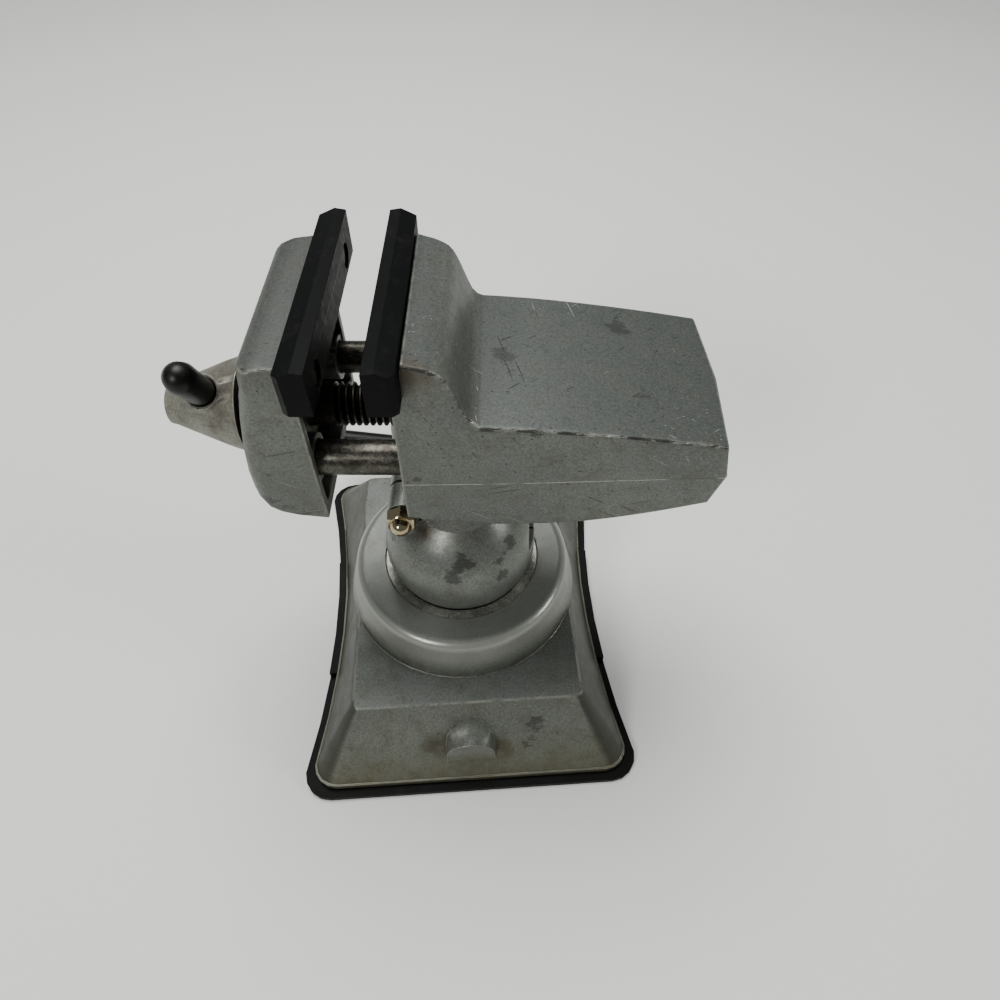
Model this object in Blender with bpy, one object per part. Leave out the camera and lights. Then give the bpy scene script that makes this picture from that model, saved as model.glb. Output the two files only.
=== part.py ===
"""Bench vise on a split ball, over a vacuum base with a cam and lever.

Metres, +Z up. The origin is the middle of the rubber pad's underside. The jaws travel along X, with the
crank at -X; the front of the base is at -Y, and the vacuum lever is at its back.
"""
import math

import bmesh
import bpy
import numpy as np
from mathutils import Matrix, Vector

for old in list(bpy.data.objects):
    bpy.data.objects.remove(old, do_unlink=True)

# Values that several pieces share
GAP = 0.0003
OVERRUN = 0.002
WELD = 0.000002
SHARP_ANGLE = math.radians(32)
QUARTER = math.pi / 2
ROUND_STEPS = 36
RIM_STEPS = 52
SMALL_STEPS = 18
PIN_STEPS = 12
CORNER_STEPS = 4
SIDE_STEPS = 7
EDGE_STEPS = 3
CAST_WALL = 0.003
PIN_RADIUS = 0.0012

# The base is turned a little under the head, as it stands in use
BASE_TURN = math.radians(3.8)

# Rubber pad under the base, with a lip at each side
RUBBER_WIDTH = 0.1208
RUBBER_WAIST = 0.1068
RUBBER_LENGTH = 0.1454
RUBBER_CORNER = 0.0095
RUBBER_THICK = 0.0022
LIP_RISE = 0.0026
LIP_LENGTH = 0.052

# Base casting: a foot with a waist, sloping sides, a flat deck and a round collar
FOOT_MARGIN = 0.0038
FOOT_WAIST_MARGIN = 0.0031
FOOT_END_MARGIN = 0.0031
FOOT_CORNER = 0.008
FOOT_RISE = 0.0031
FOOT_STEP = 0.0006
DECK_WIDTH = 0.0814
DECK_LENGTH = 0.1052
DECK_CORNER = 0.003
SLOPE_RISE = 0.0256
DECK_EDGE = 0.0007
DECK_THICK = 0.0033
COLLAR_FOOT = 0.0031
COLLAR_ROLL = 0.0037
COLLAR_LAND = 0.0077
COLLAR_SIDE_RISE = 0.0123
COLLAR_ROLL_RISE = 0.0039
COLLAR_ROOT_DEPTH = 0.0099
COLLAR_CORE_WALL = 0.0031
SOCKET_WALL = 0.0035
COLLAR_CORE_ROOF = 0.0046
SOCKET_DEPTH = 0.0094
SOCKET_STEP = 0.0083
SOCKET_WELL_DEPTH = 0.0079
BEARING_WALL = 0.005
BEARING_SETBACK = 0.0044
BEARING_ROOM = 0.0033

# Cam shaft, its heart cam, and the yoke that lifts the pad's plate
SHAFT_RISE = 0.0116
SHAFT_RADIUS = 0.0035
SHAFT_SETBACK = 0.0037
CAM_BOSS_WALL = 0.0015
CAM_LIFT = 0.003
CAM_WIDTH = 0.008
CAM_HUB_WALL = 0.0027
CAM_HUB_LENGTH = 0.008
CAM_STEPS = 28
CLIP_WALL = 0.002
CLIP_THICK = 0.0009
PLATE_RADIUS = 0.032
PLATE_THICK = 0.0018
YOKE_SIDE_ROOM = 0.005
YOKE_BAR = 0.003
YOKE_THICK = 0.006
YOKE_TOP_BAR = 0.002

# Vacuum lever behind the base, tilted up a little at rest
LEVER_TILT = math.radians(11)
LEVER_HUB_WALL = 0.0045
LEVER_HUB_GAP = 0.0063
LEVER_HUB_LENGTH = 0.010
LEVER_HUB_CAP = 0.0015
LEVER_ARM_THICK = 0.004
LEVER_ARM_WIDTH = 0.011
LEVER_ARM_TIP_WIDTH = 0.007
LEVER_TANG_RADIUS = 0.0026
GRIP_START = 0.0305
GRIP_LENGTH = 0.0282
GRIP_BLIND_WALL = 0.0087
GRIP_RADIUS = 0.0046
GRIP_COLLAR_RADIUS = 0.0042

# Seat ring, and the split ball that it carries
BALL_RADIUS = 0.0268
BALL_RISE = 0.0107
BALL_TOP_RISE = 0.0222
BALL_SPLIT = 0.001
BALL_FLAT_DEPTH = 0.0025
BALL_FLAT_RISE = 0.0046
BALL_FLAT_HALF = 0.013
SEAT_CLEARANCE = 0.0015
SEAT_SINK = 0.0008
STEM_RADIUS = 0.0079
STEM_DEPTH = 0.0213
STEM_TOP_DROP = 0.0106

# Clamp across the ball's split
CLAMP_X = -0.0175
CLAMP_RISE = 0.0033
LUG_RADIUS = 0.005
LUG_REACH = 0.0102
LUG_ROOT_DEPTH = 0.014
SPOT_RADIUS = 0.0085
STUD_RADIUS = 0.0024
NUT_WIDTH = 0.0086
NUT_LENGTH = 0.0044
NUT_CHAMFER = 0.0007
NUT_DOME_RADIUS = 0.0034
WASHER_RADIUS = 0.0062
WASHER_THICK = 0.0012
CLAMP_KNOB_RADIUS = 0.0075
CLAMP_KNOB_WAIST = 0.0058
CLAMP_KNOB_LENGTH = 0.024
CLAMP_KNOB_CAP = 0.006
WING_REACH = 0.0172
WING_WIDTH = 0.008
WING_THICK = 0.0075

# Screw and guide rods
SCREW_RISE = 0.0426
SCREW_RADIUS = 0.00635
SCREW_END = 0.044
ROD_RADIUS = 0.0049
ROD_OFFSET = 0.0206
ROD_END = 0.044
SLIDE_GAP = 0.0003
CLOSING_TRAVEL = 0.0118

# Head casting: a raised fixed jaw in front of a long, low deck
HEAD_FRONT = -0.012
HEAD_LENGTH = 0.084
HEAD_REAR_LEAN = 0.0005
HEAD_HALF = 0.0281
HEAD_TAPER = 0.0011
HEAD_TAPER_START = 0.008
HEAD_BOW = 0.0017
HEAD_BULGE = 0.0021
HEAD_EDGE = 0.0012
EDGE_SHARE = 0.35
HEAD_DRAFT = 0.02
HEAD_LEAN_SHARE = 0.125
SEAT_RISE = 0.0277
PAD_LEDGE = 0.003
FIXED_JAW_LENGTH = 0.0185
FIXED_JAW_RISE = 0.0099
FIXED_TOP_SHARES = (
    (0.032, 1.0), (0.13, 0.969), (0.27, 0.934), (0.389, 0.893), (0.476, 0.847), (0.541, 0.776),
    (0.595, 0.679), (0.649, 0.551), (0.735, 0.316), (0.805, 0.148), (0.881, 0.061), (0.973, 0.01))
FACET_WIDTH = 0.0018
FACET_DEPTH = 0.015
FACET_SHARES = (0, 0, 0.03, 0.14, 0.5, 0.79, 0.93, 1.0, 0.78, 0.57, 0.31, 0.07)
DECK_RISE = 0.018
DECK_FALL = 0.0073
DECK_STEPS = 9
DECK_FALL_SHARE = 1.5
BOW_STATIONS = 7
BELLY_DEPTH = 0.0213
BELLY_LOW_X = 0.015
BELLY_FRONT_RISE = 0.0032
BELLY_REAR_RISE = 0.0091
POCKET_FRONT_WALL = 0.007
POCKET_REAR_WALL = 0.0038
POCKET_SIDE_WALL = 0.0029
POCKET_ROOF = 0.0036
COLUMN_WALL = 0.0053
ROD_BOSS_WALL = 0.0019
ROD_BOSS_LENGTH = 0.032
NUT_POCKET_LENGTH = 0.0119
DRIVE_NUT_WALL = 0.00315
DRIVE_NUT_INSET = 0.0004
STEM_PIN_DROP = 0.0055
STEM_PIN_SETBACK = 0.0017

# Moving jaw casting: a shell, open towards the head
RIM_X = -0.0343
PAD_SETBACK = 0.0013
JAW_DROP = 0.0178
JAW_RISE = 0.0087
JAW_DEPTH = 0.019
JAW_CORNER = 0.0045
JAW_FRONT_DROP = 0.0012
JAW_BACK_SHARES = (
    (0.0243, 0.66), (0.0437, 0.82), (0.0826, 0.94), (0.136, 0.99), (0.214, 1.0), (0.335, 0.99),
    (0.5016, 0.932), (0.686, 0.832), (0.8527, 0.705), (0.9577, 0.665), (0.98, 0.62), (0.9925, 0.53),
    (1.0, 0.36))
JAW_WALL = 0.0025
JAW_ROOF = 0.0023
JAW_FLOOR = 0.0042
JAW_BOSS_RADIUS = 0.0145
JAW_BOSS_REACH = 0.0217
JAW_BOSS_LENGTH = 0.0075
JAW_ROD_BOSS_SETBACK = 0.0005
ROD_SEAT_DEPTH = 0.0162

# Jaw pads and their screws
PAD_HALF = 0.0337
PAD_HEIGHT = 0.0129
PAD_THICK = 0.007
PAD_RIDGE = 0.003
PAD_CHAMFER = 0.0005
PAD_BACK_DROP = 0.0014
PAD_END_LENGTH = 0.0012
PAD_END_DEPTH = 0.0012
PAD_SCREW_OFFSET = 0.024
PAD_SCREW_RISE = 0.0044
PAD_SCREW_HEAD = 0.0031
PAD_SCREW_HEAD_LENGTH = 0.0022
PAD_SCREW_SHANK = 0.0019
PAD_SCREW_SINK = 0.0008
PAD_SCREW_LENGTH = 0.0118

# Crank: hub, radial knob and the thrust parts behind it
HUB_LENGTH = 0.0225
HUB_RADIUS = 0.0142
HUB_BORE_DEPTH = 0.0105
HUB_CROWN_SETBACK = 0.0053
HUB_CROWN_DROP = 0.0017
HUB_TIP_ROLL = 0.0013
HUB_TIP_RADIUS = 0.0062
HUB_PIN_SETBACK = 0.005
HUB_PIN_HALF = 0.0105
KNOB_ANGLE = math.radians(32)
KNOB_SETBACK = 0.0094
KNOB_FLOOR = 0.00245
KNOB_LENGTH = 0.0205
KNOB_RADIUS = 0.004
KNOB_TIP_RADIUS = 0.0044
KNOB_BOSS_WALL = 0.0011
KNOB_SEAT_DEPTH = 0.0037
THRUST_WASHER_WALL = 0.00415
THRUST_WASHER_THICK = 0.0009
THRUST_COLLAR_WALL = 0.00365
THRUST_COLLAR_LENGTH = 0.0077

# Heights, each built up from the one below it
LIP_HEIGHT = RUBBER_THICK + LIP_RISE
FOOT_STEP_HEIGHT = RUBBER_THICK + FOOT_RISE
SHAFT_HEIGHT = FOOT_STEP_HEIGHT + SHAFT_RISE
DECK_HEIGHT = FOOT_STEP_HEIGHT + SLOPE_RISE
COLLAR_ROOT_HEIGHT = DECK_HEIGHT - COLLAR_ROOT_DEPTH
COLLAR_SHOULDER_HEIGHT = DECK_HEIGHT + COLLAR_SIDE_RISE
COLLAR_HEIGHT = COLLAR_SHOULDER_HEIGHT + COLLAR_ROLL_RISE
COLLAR_CORE_TOP = COLLAR_HEIGHT - COLLAR_CORE_ROOF
SOCKET_FLOOR = COLLAR_HEIGHT - SOCKET_DEPTH
SOCKET_WELL_FLOOR = SOCKET_FLOOR - SOCKET_WELL_DEPTH
BALL_HEIGHT = COLLAR_HEIGHT + BALL_RISE
BALL_TOP = BALL_HEIGHT + BALL_TOP_RISE
SEAT_TOP = COLLAR_HEIGHT - SEAT_SINK
SEAT_BOTTOM = SOCKET_FLOOR + GAP
CLAMP_HEIGHT = BALL_TOP + CLAMP_RISE
LUG_ROOT_HEIGHT = BALL_TOP - LUG_ROOT_DEPTH
SCREW_HEIGHT = BALL_TOP + SCREW_RISE
STEM_BOTTOM = BALL_HEIGHT - STEM_DEPTH
STEM_TOP = SCREW_HEIGHT - STEM_TOP_DROP
STEM_PIN_HEIGHT = STEM_TOP - STEM_PIN_DROP
HEAD_DECK = SCREW_HEIGHT + DECK_RISE
HEAD_DECK_REAR = HEAD_DECK - DECK_FALL
HEAD_BELLY = SCREW_HEIGHT - BELLY_DEPTH
POCKET_TOP = HEAD_DECK - POCKET_ROOF
PAD_SEAT = SCREW_HEIGHT + SEAT_RISE
FIXED_TOP = PAD_SEAT + FIXED_JAW_RISE
JAW_TOP = PAD_SEAT + JAW_RISE
JAW_FOOT = SCREW_HEIGHT - JAW_DROP
JAW_HOLLOW_TOP = PAD_SEAT - JAW_ROOF
JAW_HOLLOW_FOOT = JAW_FOOT + JAW_FLOOR
PAD_BOTTOM = PAD_SEAT + GAP
PAD_TOP = PAD_BOTTOM + PAD_HEIGHT
PAD_SCREW_HEIGHT = PAD_BOTTOM + PAD_SCREW_RISE

# Widths of the base, and radii, each built up from what it goes round
FOOT_WIDTH = RUBBER_WIDTH - 2 * FOOT_MARGIN
FOOT_WAIST = RUBBER_WAIST - 2 * FOOT_WAIST_MARGIN
FOOT_LENGTH = RUBBER_LENGTH - 2 * FOOT_END_MARGIN
SOCKET_RADIUS = BALL_RADIUS + SEAT_CLEARANCE
SOCKET_WELL_RADIUS = SOCKET_RADIUS - SOCKET_STEP
COLLAR_LAND_RADIUS = SOCKET_RADIUS + COLLAR_LAND
COLLAR_RADIUS = COLLAR_LAND_RADIUS + COLLAR_ROLL
COLLAR_FOOT_RADIUS = COLLAR_RADIUS + COLLAR_FOOT
COLLAR_CORE_INNER = SOCKET_RADIUS + SOCKET_WALL
COLLAR_CORE_OUTER = COLLAR_RADIUS - COLLAR_CORE_WALL
BEARING_RADIUS = SHAFT_RADIUS + BEARING_WALL
CAM_LOW = SHAFT_RADIUS + CAM_BOSS_WALL
CAM_HIGH = CAM_LOW + CAM_LIFT
CAM_HUB_RADIUS = SHAFT_RADIUS + CAM_HUB_WALL
CLIP_RADIUS = SHAFT_RADIUS + CLIP_WALL
YOKE_HALF = CAM_HIGH + YOKE_SIDE_ROOM
LEVER_HUB_RADIUS = SHAFT_RADIUS + LEVER_HUB_WALL
COLUMN_RADIUS = STEM_RADIUS + COLUMN_WALL
ROD_BOSS_RADIUS = ROD_RADIUS + ROD_BOSS_WALL
DRIVE_NUT_RADIUS = SCREW_RADIUS + DRIVE_NUT_WALL
THRUST_WASHER_RADIUS = SCREW_RADIUS + THRUST_WASHER_WALL
THRUST_COLLAR_RADIUS = SCREW_RADIUS + THRUST_COLLAR_WALL
HUB_CROWN_RADIUS = HUB_RADIUS - HUB_CROWN_DROP
KNOB_BOSS_RADIUS = KNOB_RADIUS + KNOB_BOSS_WALL
KNOB_ROOT = SCREW_RADIUS + KNOB_FLOOR
KNOB_BOSS_REACH = KNOB_ROOT + KNOB_SEAT_DEPTH
KNOB_TIP = KNOB_ROOT + KNOB_LENGTH

# Places along Y: the cam shaft, the lever and the clamp
BEARING_REACH = FOOT_LENGTH / 2 - BEARING_SETBACK
BOSS_TOP_SHARE = (SHAFT_RISE + BEARING_RADIUS) / SLOPE_RISE
SLOPE_REACH = (FOOT_LENGTH + (DECK_LENGTH - FOOT_LENGTH) * BOSS_TOP_SHARE) / 2
BEARING_INNER = SLOPE_REACH - CAST_WALL - BEARING_ROOM
SHAFT_FRONT = BEARING_REACH - SHAFT_SETBACK
LEVER_HUB_FRONT = BEARING_REACH + LEVER_HUB_GAP
LEVER_HUB_REAR = LEVER_HUB_FRONT + LEVER_HUB_LENGTH
LEVER_ARM_FRONT = LEVER_HUB_REAR - LEVER_ARM_THICK
SHAFT_REAR = LEVER_HUB_REAR - LEVER_HUB_CAP
GRIP_END = GRIP_START + GRIP_LENGTH
LEVER_TANG_END = GRIP_END - GRIP_BLIND_WALL
CLAMP_KNOB_START = LUG_REACH + GAP + WASHER_THICK + GAP
CLAMP_KNOB_END = CLAMP_KNOB_START + CLAMP_KNOB_LENGTH
STUD_REAR = CLAMP_KNOB_END - CLAMP_KNOB_CAP
STEM_PIN_HALF = COLUMN_RADIUS - STEM_PIN_SETBACK
HEAD_REAR_HALF = HEAD_HALF - HEAD_TAPER
POCKET_HALF = HEAD_REAR_HALF - POCKET_SIDE_WALL

# Places along X: the head, the moving jaw and the crank
HEAD_REAR = HEAD_FRONT + HEAD_LENGTH
HEAD_REAR_FOOT = HEAD_REAR - HEAD_REAR_LEAN
FIXED_FACE = HEAD_FRONT + PAD_LEDGE
FIXED_CREASE = FIXED_FACE + FIXED_JAW_LENGTH
POCKET_START = HEAD_FRONT + POCKET_FRONT_WALL
POCKET_END = HEAD_REAR - POCKET_REAR_WALL
ROD_BOSS_END = HEAD_FRONT + ROD_BOSS_LENGTH
NUT_POCKET_END = HEAD_FRONT + NUT_POCKET_LENGTH
JAW_REST_X = RIM_X - PAD_SETBACK
JAW_BOSS_OUTER = RIM_X - JAW_BOSS_REACH
JAW_BOSS_INNER = JAW_BOSS_OUTER + JAW_BOSS_LENGTH
JAW_ROD_BOSS_END = RIM_X - JAW_ROD_BOSS_SETBACK
ROD_START = RIM_X - ROD_SEAT_DEPTH
HUB_START = JAW_BOSS_OUTER - GAP - THRUST_WASHER_THICK - GAP
HUB_END = HUB_START - HUB_LENGTH
HUB_CROWN_X = HUB_START - HUB_CROWN_SETBACK
HUB_TIP_X = HUB_END + HUB_TIP_ROLL
HUB_PIN_X = HUB_START - HUB_PIN_SETBACK
HUB_BORE_END = HUB_START - HUB_BORE_DEPTH
SCREW_START = HUB_BORE_END + GAP
KNOB_X = HUB_START - KNOB_SETBACK


def finish(name, colour, roughness, metallic):
    """A plain surface with one colour."""
    made = bpy.data.materials.new(name)
    made.use_nodes = True
    shader = made.node_tree.nodes["Principled BSDF"]
    shader.inputs["Base Color"].default_value = (*colour, 1)
    shader.inputs["Roughness"].default_value = roughness
    shader.inputs["Metallic"].default_value = metallic
    return made


CASTING = finish("grey_casting", (0.19, 0.20, 0.19), 0.45, 0.6)
BLACK_PAD = finish("black_jaw", (0.035, 0.037, 0.038), 0.55, 0.0)
RUBBER = finish("black_rubber", (0.012, 0.012, 0.010), 0.7, 0.0)
PLASTIC = finish("black_plastic", (0.02, 0.02, 0.018), 0.3, 0.0)
STEEL = finish("oiled_steel", (0.21, 0.19, 0.15), 0.35, 1.0)
ZINC = finish("worn_zinc", (0.34, 0.32, 0.26), 0.4, 0.9)
CHROME = finish("chrome", (0.75, 0.70, 0.62), 0.1, 1.0)
BRONZE = finish("bronze", (0.42, 0.27, 0.13), 0.4, 1.0)

AXIS_TURNS = {
    "X": Matrix.Rotation(QUARTER, 4, "Y"),
    "Y": Matrix.Rotation(-QUARTER, 4, "X"),
    "Z": Matrix.Identity(4),
}


def group(name, location=(0, 0, 0), rotation=(0, 0, 0), parent=None):
    """A frame that a group of pieces stands in."""
    frame = bpy.data.objects.new(name, None)
    bpy.context.scene.collection.objects.link(frame)
    frame.location = location
    frame.rotation_euler = rotation
    frame.parent = parent
    return frame


def solid(name, bm, surface, parent=None, origin=(0, 0, 0)):
    """Make one object of a bmesh, its round parts smooth and its origin on its own axis."""
    bmesh.ops.remove_doubles(bm, verts=bm.verts, dist=WELD)
    bmesh.ops.recalc_face_normals(bm, faces=bm.faces)
    bmesh.ops.translate(bm, verts=bm.verts, vec=-Vector(origin))
    mesh = bpy.data.meshes.new(name)
    bm.to_mesh(mesh)
    bm.free()
    mesh.shade_smooth()
    mesh.set_sharp_from_angle(angle=SHARP_ANGLE)
    made = bpy.data.objects.new(name, mesh)
    bpy.context.scene.collection.objects.link(made)
    made.data.materials.append(surface)
    made.location = origin
    made.parent = parent
    return made


def reshape(target, operation, bm):
    """Join a shape to an object, or cut it away, with a Boolean."""
    label = "_".join((target.name, operation.lower(), str(len(target.modifiers))))
    tool = solid(label, bm, target.data.materials[0], target.parent)
    tool.hide_render = True
    tool.display_type = "WIRE"
    modifier = target.modifiers.new(label, "BOOLEAN")
    modifier.operation = operation
    modifier.solver = "EXACT"
    modifier.object = tool


def cut(target, bm):
    """Take a shape out of an object."""
    reshape(target, "DIFFERENCE", bm)


def join(target, bm):
    """Add a shape to an object."""
    reshape(target, "UNION", bm)


def turned(profile, axis="Z", centre=(0, 0, 0), steps=ROUND_STEPS, bm=None):
    """A turned shape from (radius, place along the axis) points, closed at its axis or on itself."""
    bm = bm or bmesh.new()
    points = [bm.verts.new((radius, 0, along)) for radius, along in profile]
    on_axis = profile[0][0] == 0 and profile[-1][0] == 0
    ends = points[1:] + ([] if on_axis else points[:1])
    edges = [bm.edges.new(pair) for pair in zip(points, ends)]
    bmesh.ops.spin(
        bm, geom=points + edges, cent=(0, 0, 0), axis=(0, 0, 1), angle=2 * math.pi,
        steps=steps, use_merge=True)
    bmesh.ops.remove_doubles(bm, verts=bm.verts, dist=WELD)
    place = Matrix.Translation(Vector(centre)) @ AXIS_TURNS[axis]
    bmesh.ops.transform(bm, matrix=place, verts=bm.verts)
    return bm


def bar(radius, low, high, axis="Z", centre=(0, 0, 0), steps=SMALL_STEPS):
    """A plain cylinder between two places along an axis."""
    bm = bmesh.new()
    middle = Matrix.Translation((0, 0, (low + high) / 2))
    place = Matrix.Translation(Vector(centre)) @ AXIS_TURNS[axis] @ middle
    bmesh.ops.create_cone(
        bm, cap_ends=True, segments=steps, radius1=radius, radius2=radius, depth=high - low,
        matrix=place)
    return bm


def box(low, high):
    """A box between two corners."""
    bm = bmesh.new()
    low = Vector(low)
    size = Vector(high) - low
    place = Matrix.Translation(low + size / 2) @ Matrix.Diagonal((*size, 1))
    bmesh.ops.create_cube(bm, size=1, matrix=place)
    return bm


def both(first, second):
    """Two shapes that don't meet, as one bmesh."""
    mesh = bpy.data.meshes.new("joined_shape")
    second.to_mesh(mesh)
    second.free()
    first.from_mesh(mesh)
    bpy.data.meshes.remove(mesh)
    return first


def prism(outline, low, high):
    """An (x, z) outline drawn out along Y."""
    bm = bmesh.new()
    face = bm.faces.new([bm.verts.new((x, low, z)) for x, z in outline])
    drawn = bmesh.ops.extrude_face_region(bm, geom=[face])
    moved = [item for item in drawn["geom"] if isinstance(item, bmesh.types.BMVert)]
    bmesh.ops.translate(bm, verts=moved, vec=(0, high - low, 0))
    return bm


def slab(outline, low, high):
    """An (x, y) outline drawn out along Z."""
    bm = bmesh.new()
    face = bm.faces.new([bm.verts.new((x, y, low)) for x, y in outline])
    drawn = bmesh.ops.extrude_face_region(bm, geom=[face])
    moved = [item for item in drawn["geom"] if isinstance(item, bmesh.types.BMVert)]
    bmesh.ops.translate(bm, verts=moved, vec=(0, 0, high - low))
    return bm


def loft(rings):
    """A skin over rings of equal count, flat at both ends."""
    bm = bmesh.new()
    rows = [[bm.verts.new(point) for point in ring] for ring in rings]
    for lower, upper in zip(rows, rows[1:]):
        for place in range(len(lower)):
            bm.faces.new((lower[place - 1], lower[place], upper[place], upper[place - 1]))
    bm.faces.new(rows[0])
    bm.faces.new(rows[-1])
    return bm


def block(counts, place):
    """The skin of a block of cells whose corners a rule puts in place."""
    bm = bmesh.new()
    corners = {}
    for axis in range(3):
        across, along = [other for other in range(3) if other != axis]
        for side in (0, counts[axis] - 1):
            for first in range(counts[across] - 1):
                for second in range(counts[along] - 1):
                    ring = []
                    for step in ((0, 0), (1, 0), (1, 1), (0, 1)):
                        key = [0, 0, 0]
                        key[axis] = side
                        key[across] = first + step[0]
                        key[along] = second + step[1]
                        key = tuple(key)
                        if key not in corners:
                            corners[key] = bm.verts.new(place(*key))
                        ring.append(corners[key])
                    bm.faces.new(ring)
    bmesh.ops.triangulate(bm, faces=bm.faces)
    return bm


def arc(centre, radius, start, end, steps):
    """Points along an arc, from one angle to another."""
    turns = [start + (end - start) * step / steps for step in range(steps + 1)]
    return [(centre[0] + radius * math.cos(turn), centre[1] + radius * math.sin(turn)) for turn in turns]


def mix(low, high, share):
    """A value part of the way between two others."""
    return low + (high - low) * share


def waisted(width, waist, length, corner):
    """A round-cornered outline, its long sides drawn in to a waist."""
    reach = length / 2 - corner
    quarter = arc((width / 2 - corner, reach), corner, 0, QUARTER, CORNER_STEPS)
    side = []
    for step in range(1, SIDE_STEPS):
        place = mix(-reach, reach, step / SIDE_STEPS)
        side.append((mix(waist, width, (place / reach) ** 2) / 2, place))
    half = side + quarter + [(-x, y) for x, y in reversed(quarter)]
    other = [(-x, -y) for x, y in side] + [(-x, -y) for x, y in quarter]
    return half + other + [(x, -y) for x, y in reversed(quarter)]


def raised(outline, height):
    """A flat outline at a height."""
    return [(x, y, height) for x, y in outline]


# The rubber pad, flat underneath, with a raised lip along each waist
def suction_pad(parent):
    outline = waisted(RUBBER_WIDTH, RUBBER_WAIST, RUBBER_LENGTH, RUBBER_CORNER)
    pad = solid("suction_pad", slab(outline, 0, LIP_HEIGHT), RUBBER, parent)
    clear = 2 * GAP
    inner = waisted(FOOT_WIDTH + clear, FOOT_WAIST + clear, FOOT_LENGTH + clear, FOOT_CORNER)
    cut(pad, slab(inner, RUBBER_THICK, LIP_HEIGHT + OVERRUN))
    reach = Vector((RUBBER_WIDTH, RUBBER_LENGTH, LIP_HEIGHT + OVERRUN))
    front = box((-reach.x, -reach.y, RUBBER_THICK), (reach.x, -LIP_LENGTH / 2, reach.z))
    rear = box((-reach.x, LIP_LENGTH / 2, RUBBER_THICK), (reach.x, reach.y, reach.z))
    cut(pad, both(front, rear))


def slope_size(foot, deck, height):
    """A width of the sloping sides at a height."""
    foot_height = FOOT_STEP_HEIGHT
    return mix(foot, deck, (height - foot_height) / (DECK_HEIGHT - foot_height))


def base_rings(inset, low, high, shrink=0):
    """Outlines up the sloping sides, drawn in by an inset."""
    rings = []
    for height in (low, high):
        pairs = [(FOOT_WIDTH, DECK_WIDTH), (FOOT_WAIST, DECK_WIDTH), (FOOT_LENGTH, DECK_LENGTH)]
        sizes = [slope_size(foot, deck, height) - 2 * inset for foot, deck in pairs]
        corner = slope_size(FOOT_CORNER, DECK_CORNER, height) - shrink
        rings.append(raised(waisted(*sizes, corner), height))
    return rings


# Base casting, hollow underneath, with the ball's socket in its collar
def base_casting(parent):
    foot_height = RUBBER_THICK + GAP
    foot = waisted(FOOT_WIDTH, FOOT_WAIST, FOOT_LENGTH, FOOT_CORNER)
    lower, upper = base_rings(FOOT_STEP, FOOT_STEP_HEIGHT, DECK_HEIGHT - DECK_EDGE)
    deck_trim = 2 * (FOOT_STEP + DECK_EDGE)
    deck = waisted(DECK_WIDTH - deck_trim, DECK_WIDTH - deck_trim, DECK_LENGTH - deck_trim, DECK_CORNER)
    rings = [raised(foot, foot_height), raised(foot, FOOT_STEP_HEIGHT), lower, upper]
    base = solid("base_casting", loft(rings + [raised(deck, DECK_HEIGHT)]), CASTING, parent)
    shoulder = [
        (COLLAR_LAND_RADIUS + (COLLAR_RADIUS - COLLAR_LAND_RADIUS) * math.cos(turn),
         COLLAR_SHOULDER_HEIGHT + (COLLAR_HEIGHT - COLLAR_SHOULDER_HEIGHT) * math.sin(turn))
        for turn in (0, QUARTER / 4, QUARTER / 2, QUARTER * 3 / 4, QUARTER)]
    collar = [(0, COLLAR_ROOT_HEIGHT), (COLLAR_FOOT_RADIUS, COLLAR_ROOT_HEIGHT)]
    collar += [(COLLAR_FOOT_RADIUS, DECK_HEIGHT)] + shoulder + [(0, COLLAR_HEIGHT)]
    join(base, turned(collar, steps=RIM_STEPS))
    ceiling = DECK_HEIGHT - DECK_THICK
    low, high = base_rings(CAST_WALL, foot_height, ceiling)
    below = [(x, y, foot_height - OVERRUN) for x, y, height in low]
    cut(base, loft([below, low, high]))
    core = [
        (COLLAR_CORE_INNER, COLLAR_ROOT_HEIGHT), (COLLAR_CORE_OUTER, COLLAR_ROOT_HEIGHT),
        (COLLAR_CORE_OUTER, COLLAR_CORE_TOP), (COLLAR_CORE_INNER, COLLAR_CORE_TOP)]
    cut(base, turned(core))
    bearings = both(bearing_boss(-BEARING_REACH, -BEARING_INNER), bearing_boss(BEARING_INNER, BEARING_REACH))
    join(base, bearings)
    mouth = COLLAR_HEIGHT + OVERRUN
    socket = [
        (0, SOCKET_WELL_FLOOR), (SOCKET_WELL_RADIUS, SOCKET_WELL_FLOOR), (SOCKET_WELL_RADIUS, SOCKET_FLOOR),
        (SOCKET_RADIUS, SOCKET_FLOOR), (SOCKET_RADIUS, mouth), (0, mouth)]
    cut(base, turned(socket, steps=RIM_STEPS))
    axle = (0, 0, SHAFT_HEIGHT)
    blind = bar(SHAFT_RADIUS + GAP, -SHAFT_FRONT - GAP, -BEARING_INNER + OVERRUN, "Y", axle)
    through = bar(SHAFT_RADIUS + GAP, BEARING_INNER - OVERRUN, BEARING_REACH + OVERRUN, "Y", axle)
    cut(base, both(blind, through))


def bearing_boss(low, high):
    """An arch round the cam shaft's end, straight below its axis."""
    top = arc((0, SHAFT_HEIGHT), BEARING_RADIUS, 0, math.pi, 2 * CORNER_STEPS)
    outline = top + [(-BEARING_RADIUS, FOOT_STEP_HEIGHT), (BEARING_RADIUS, FOOT_STEP_HEIGHT)]
    return prism(outline, low, high)


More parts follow.
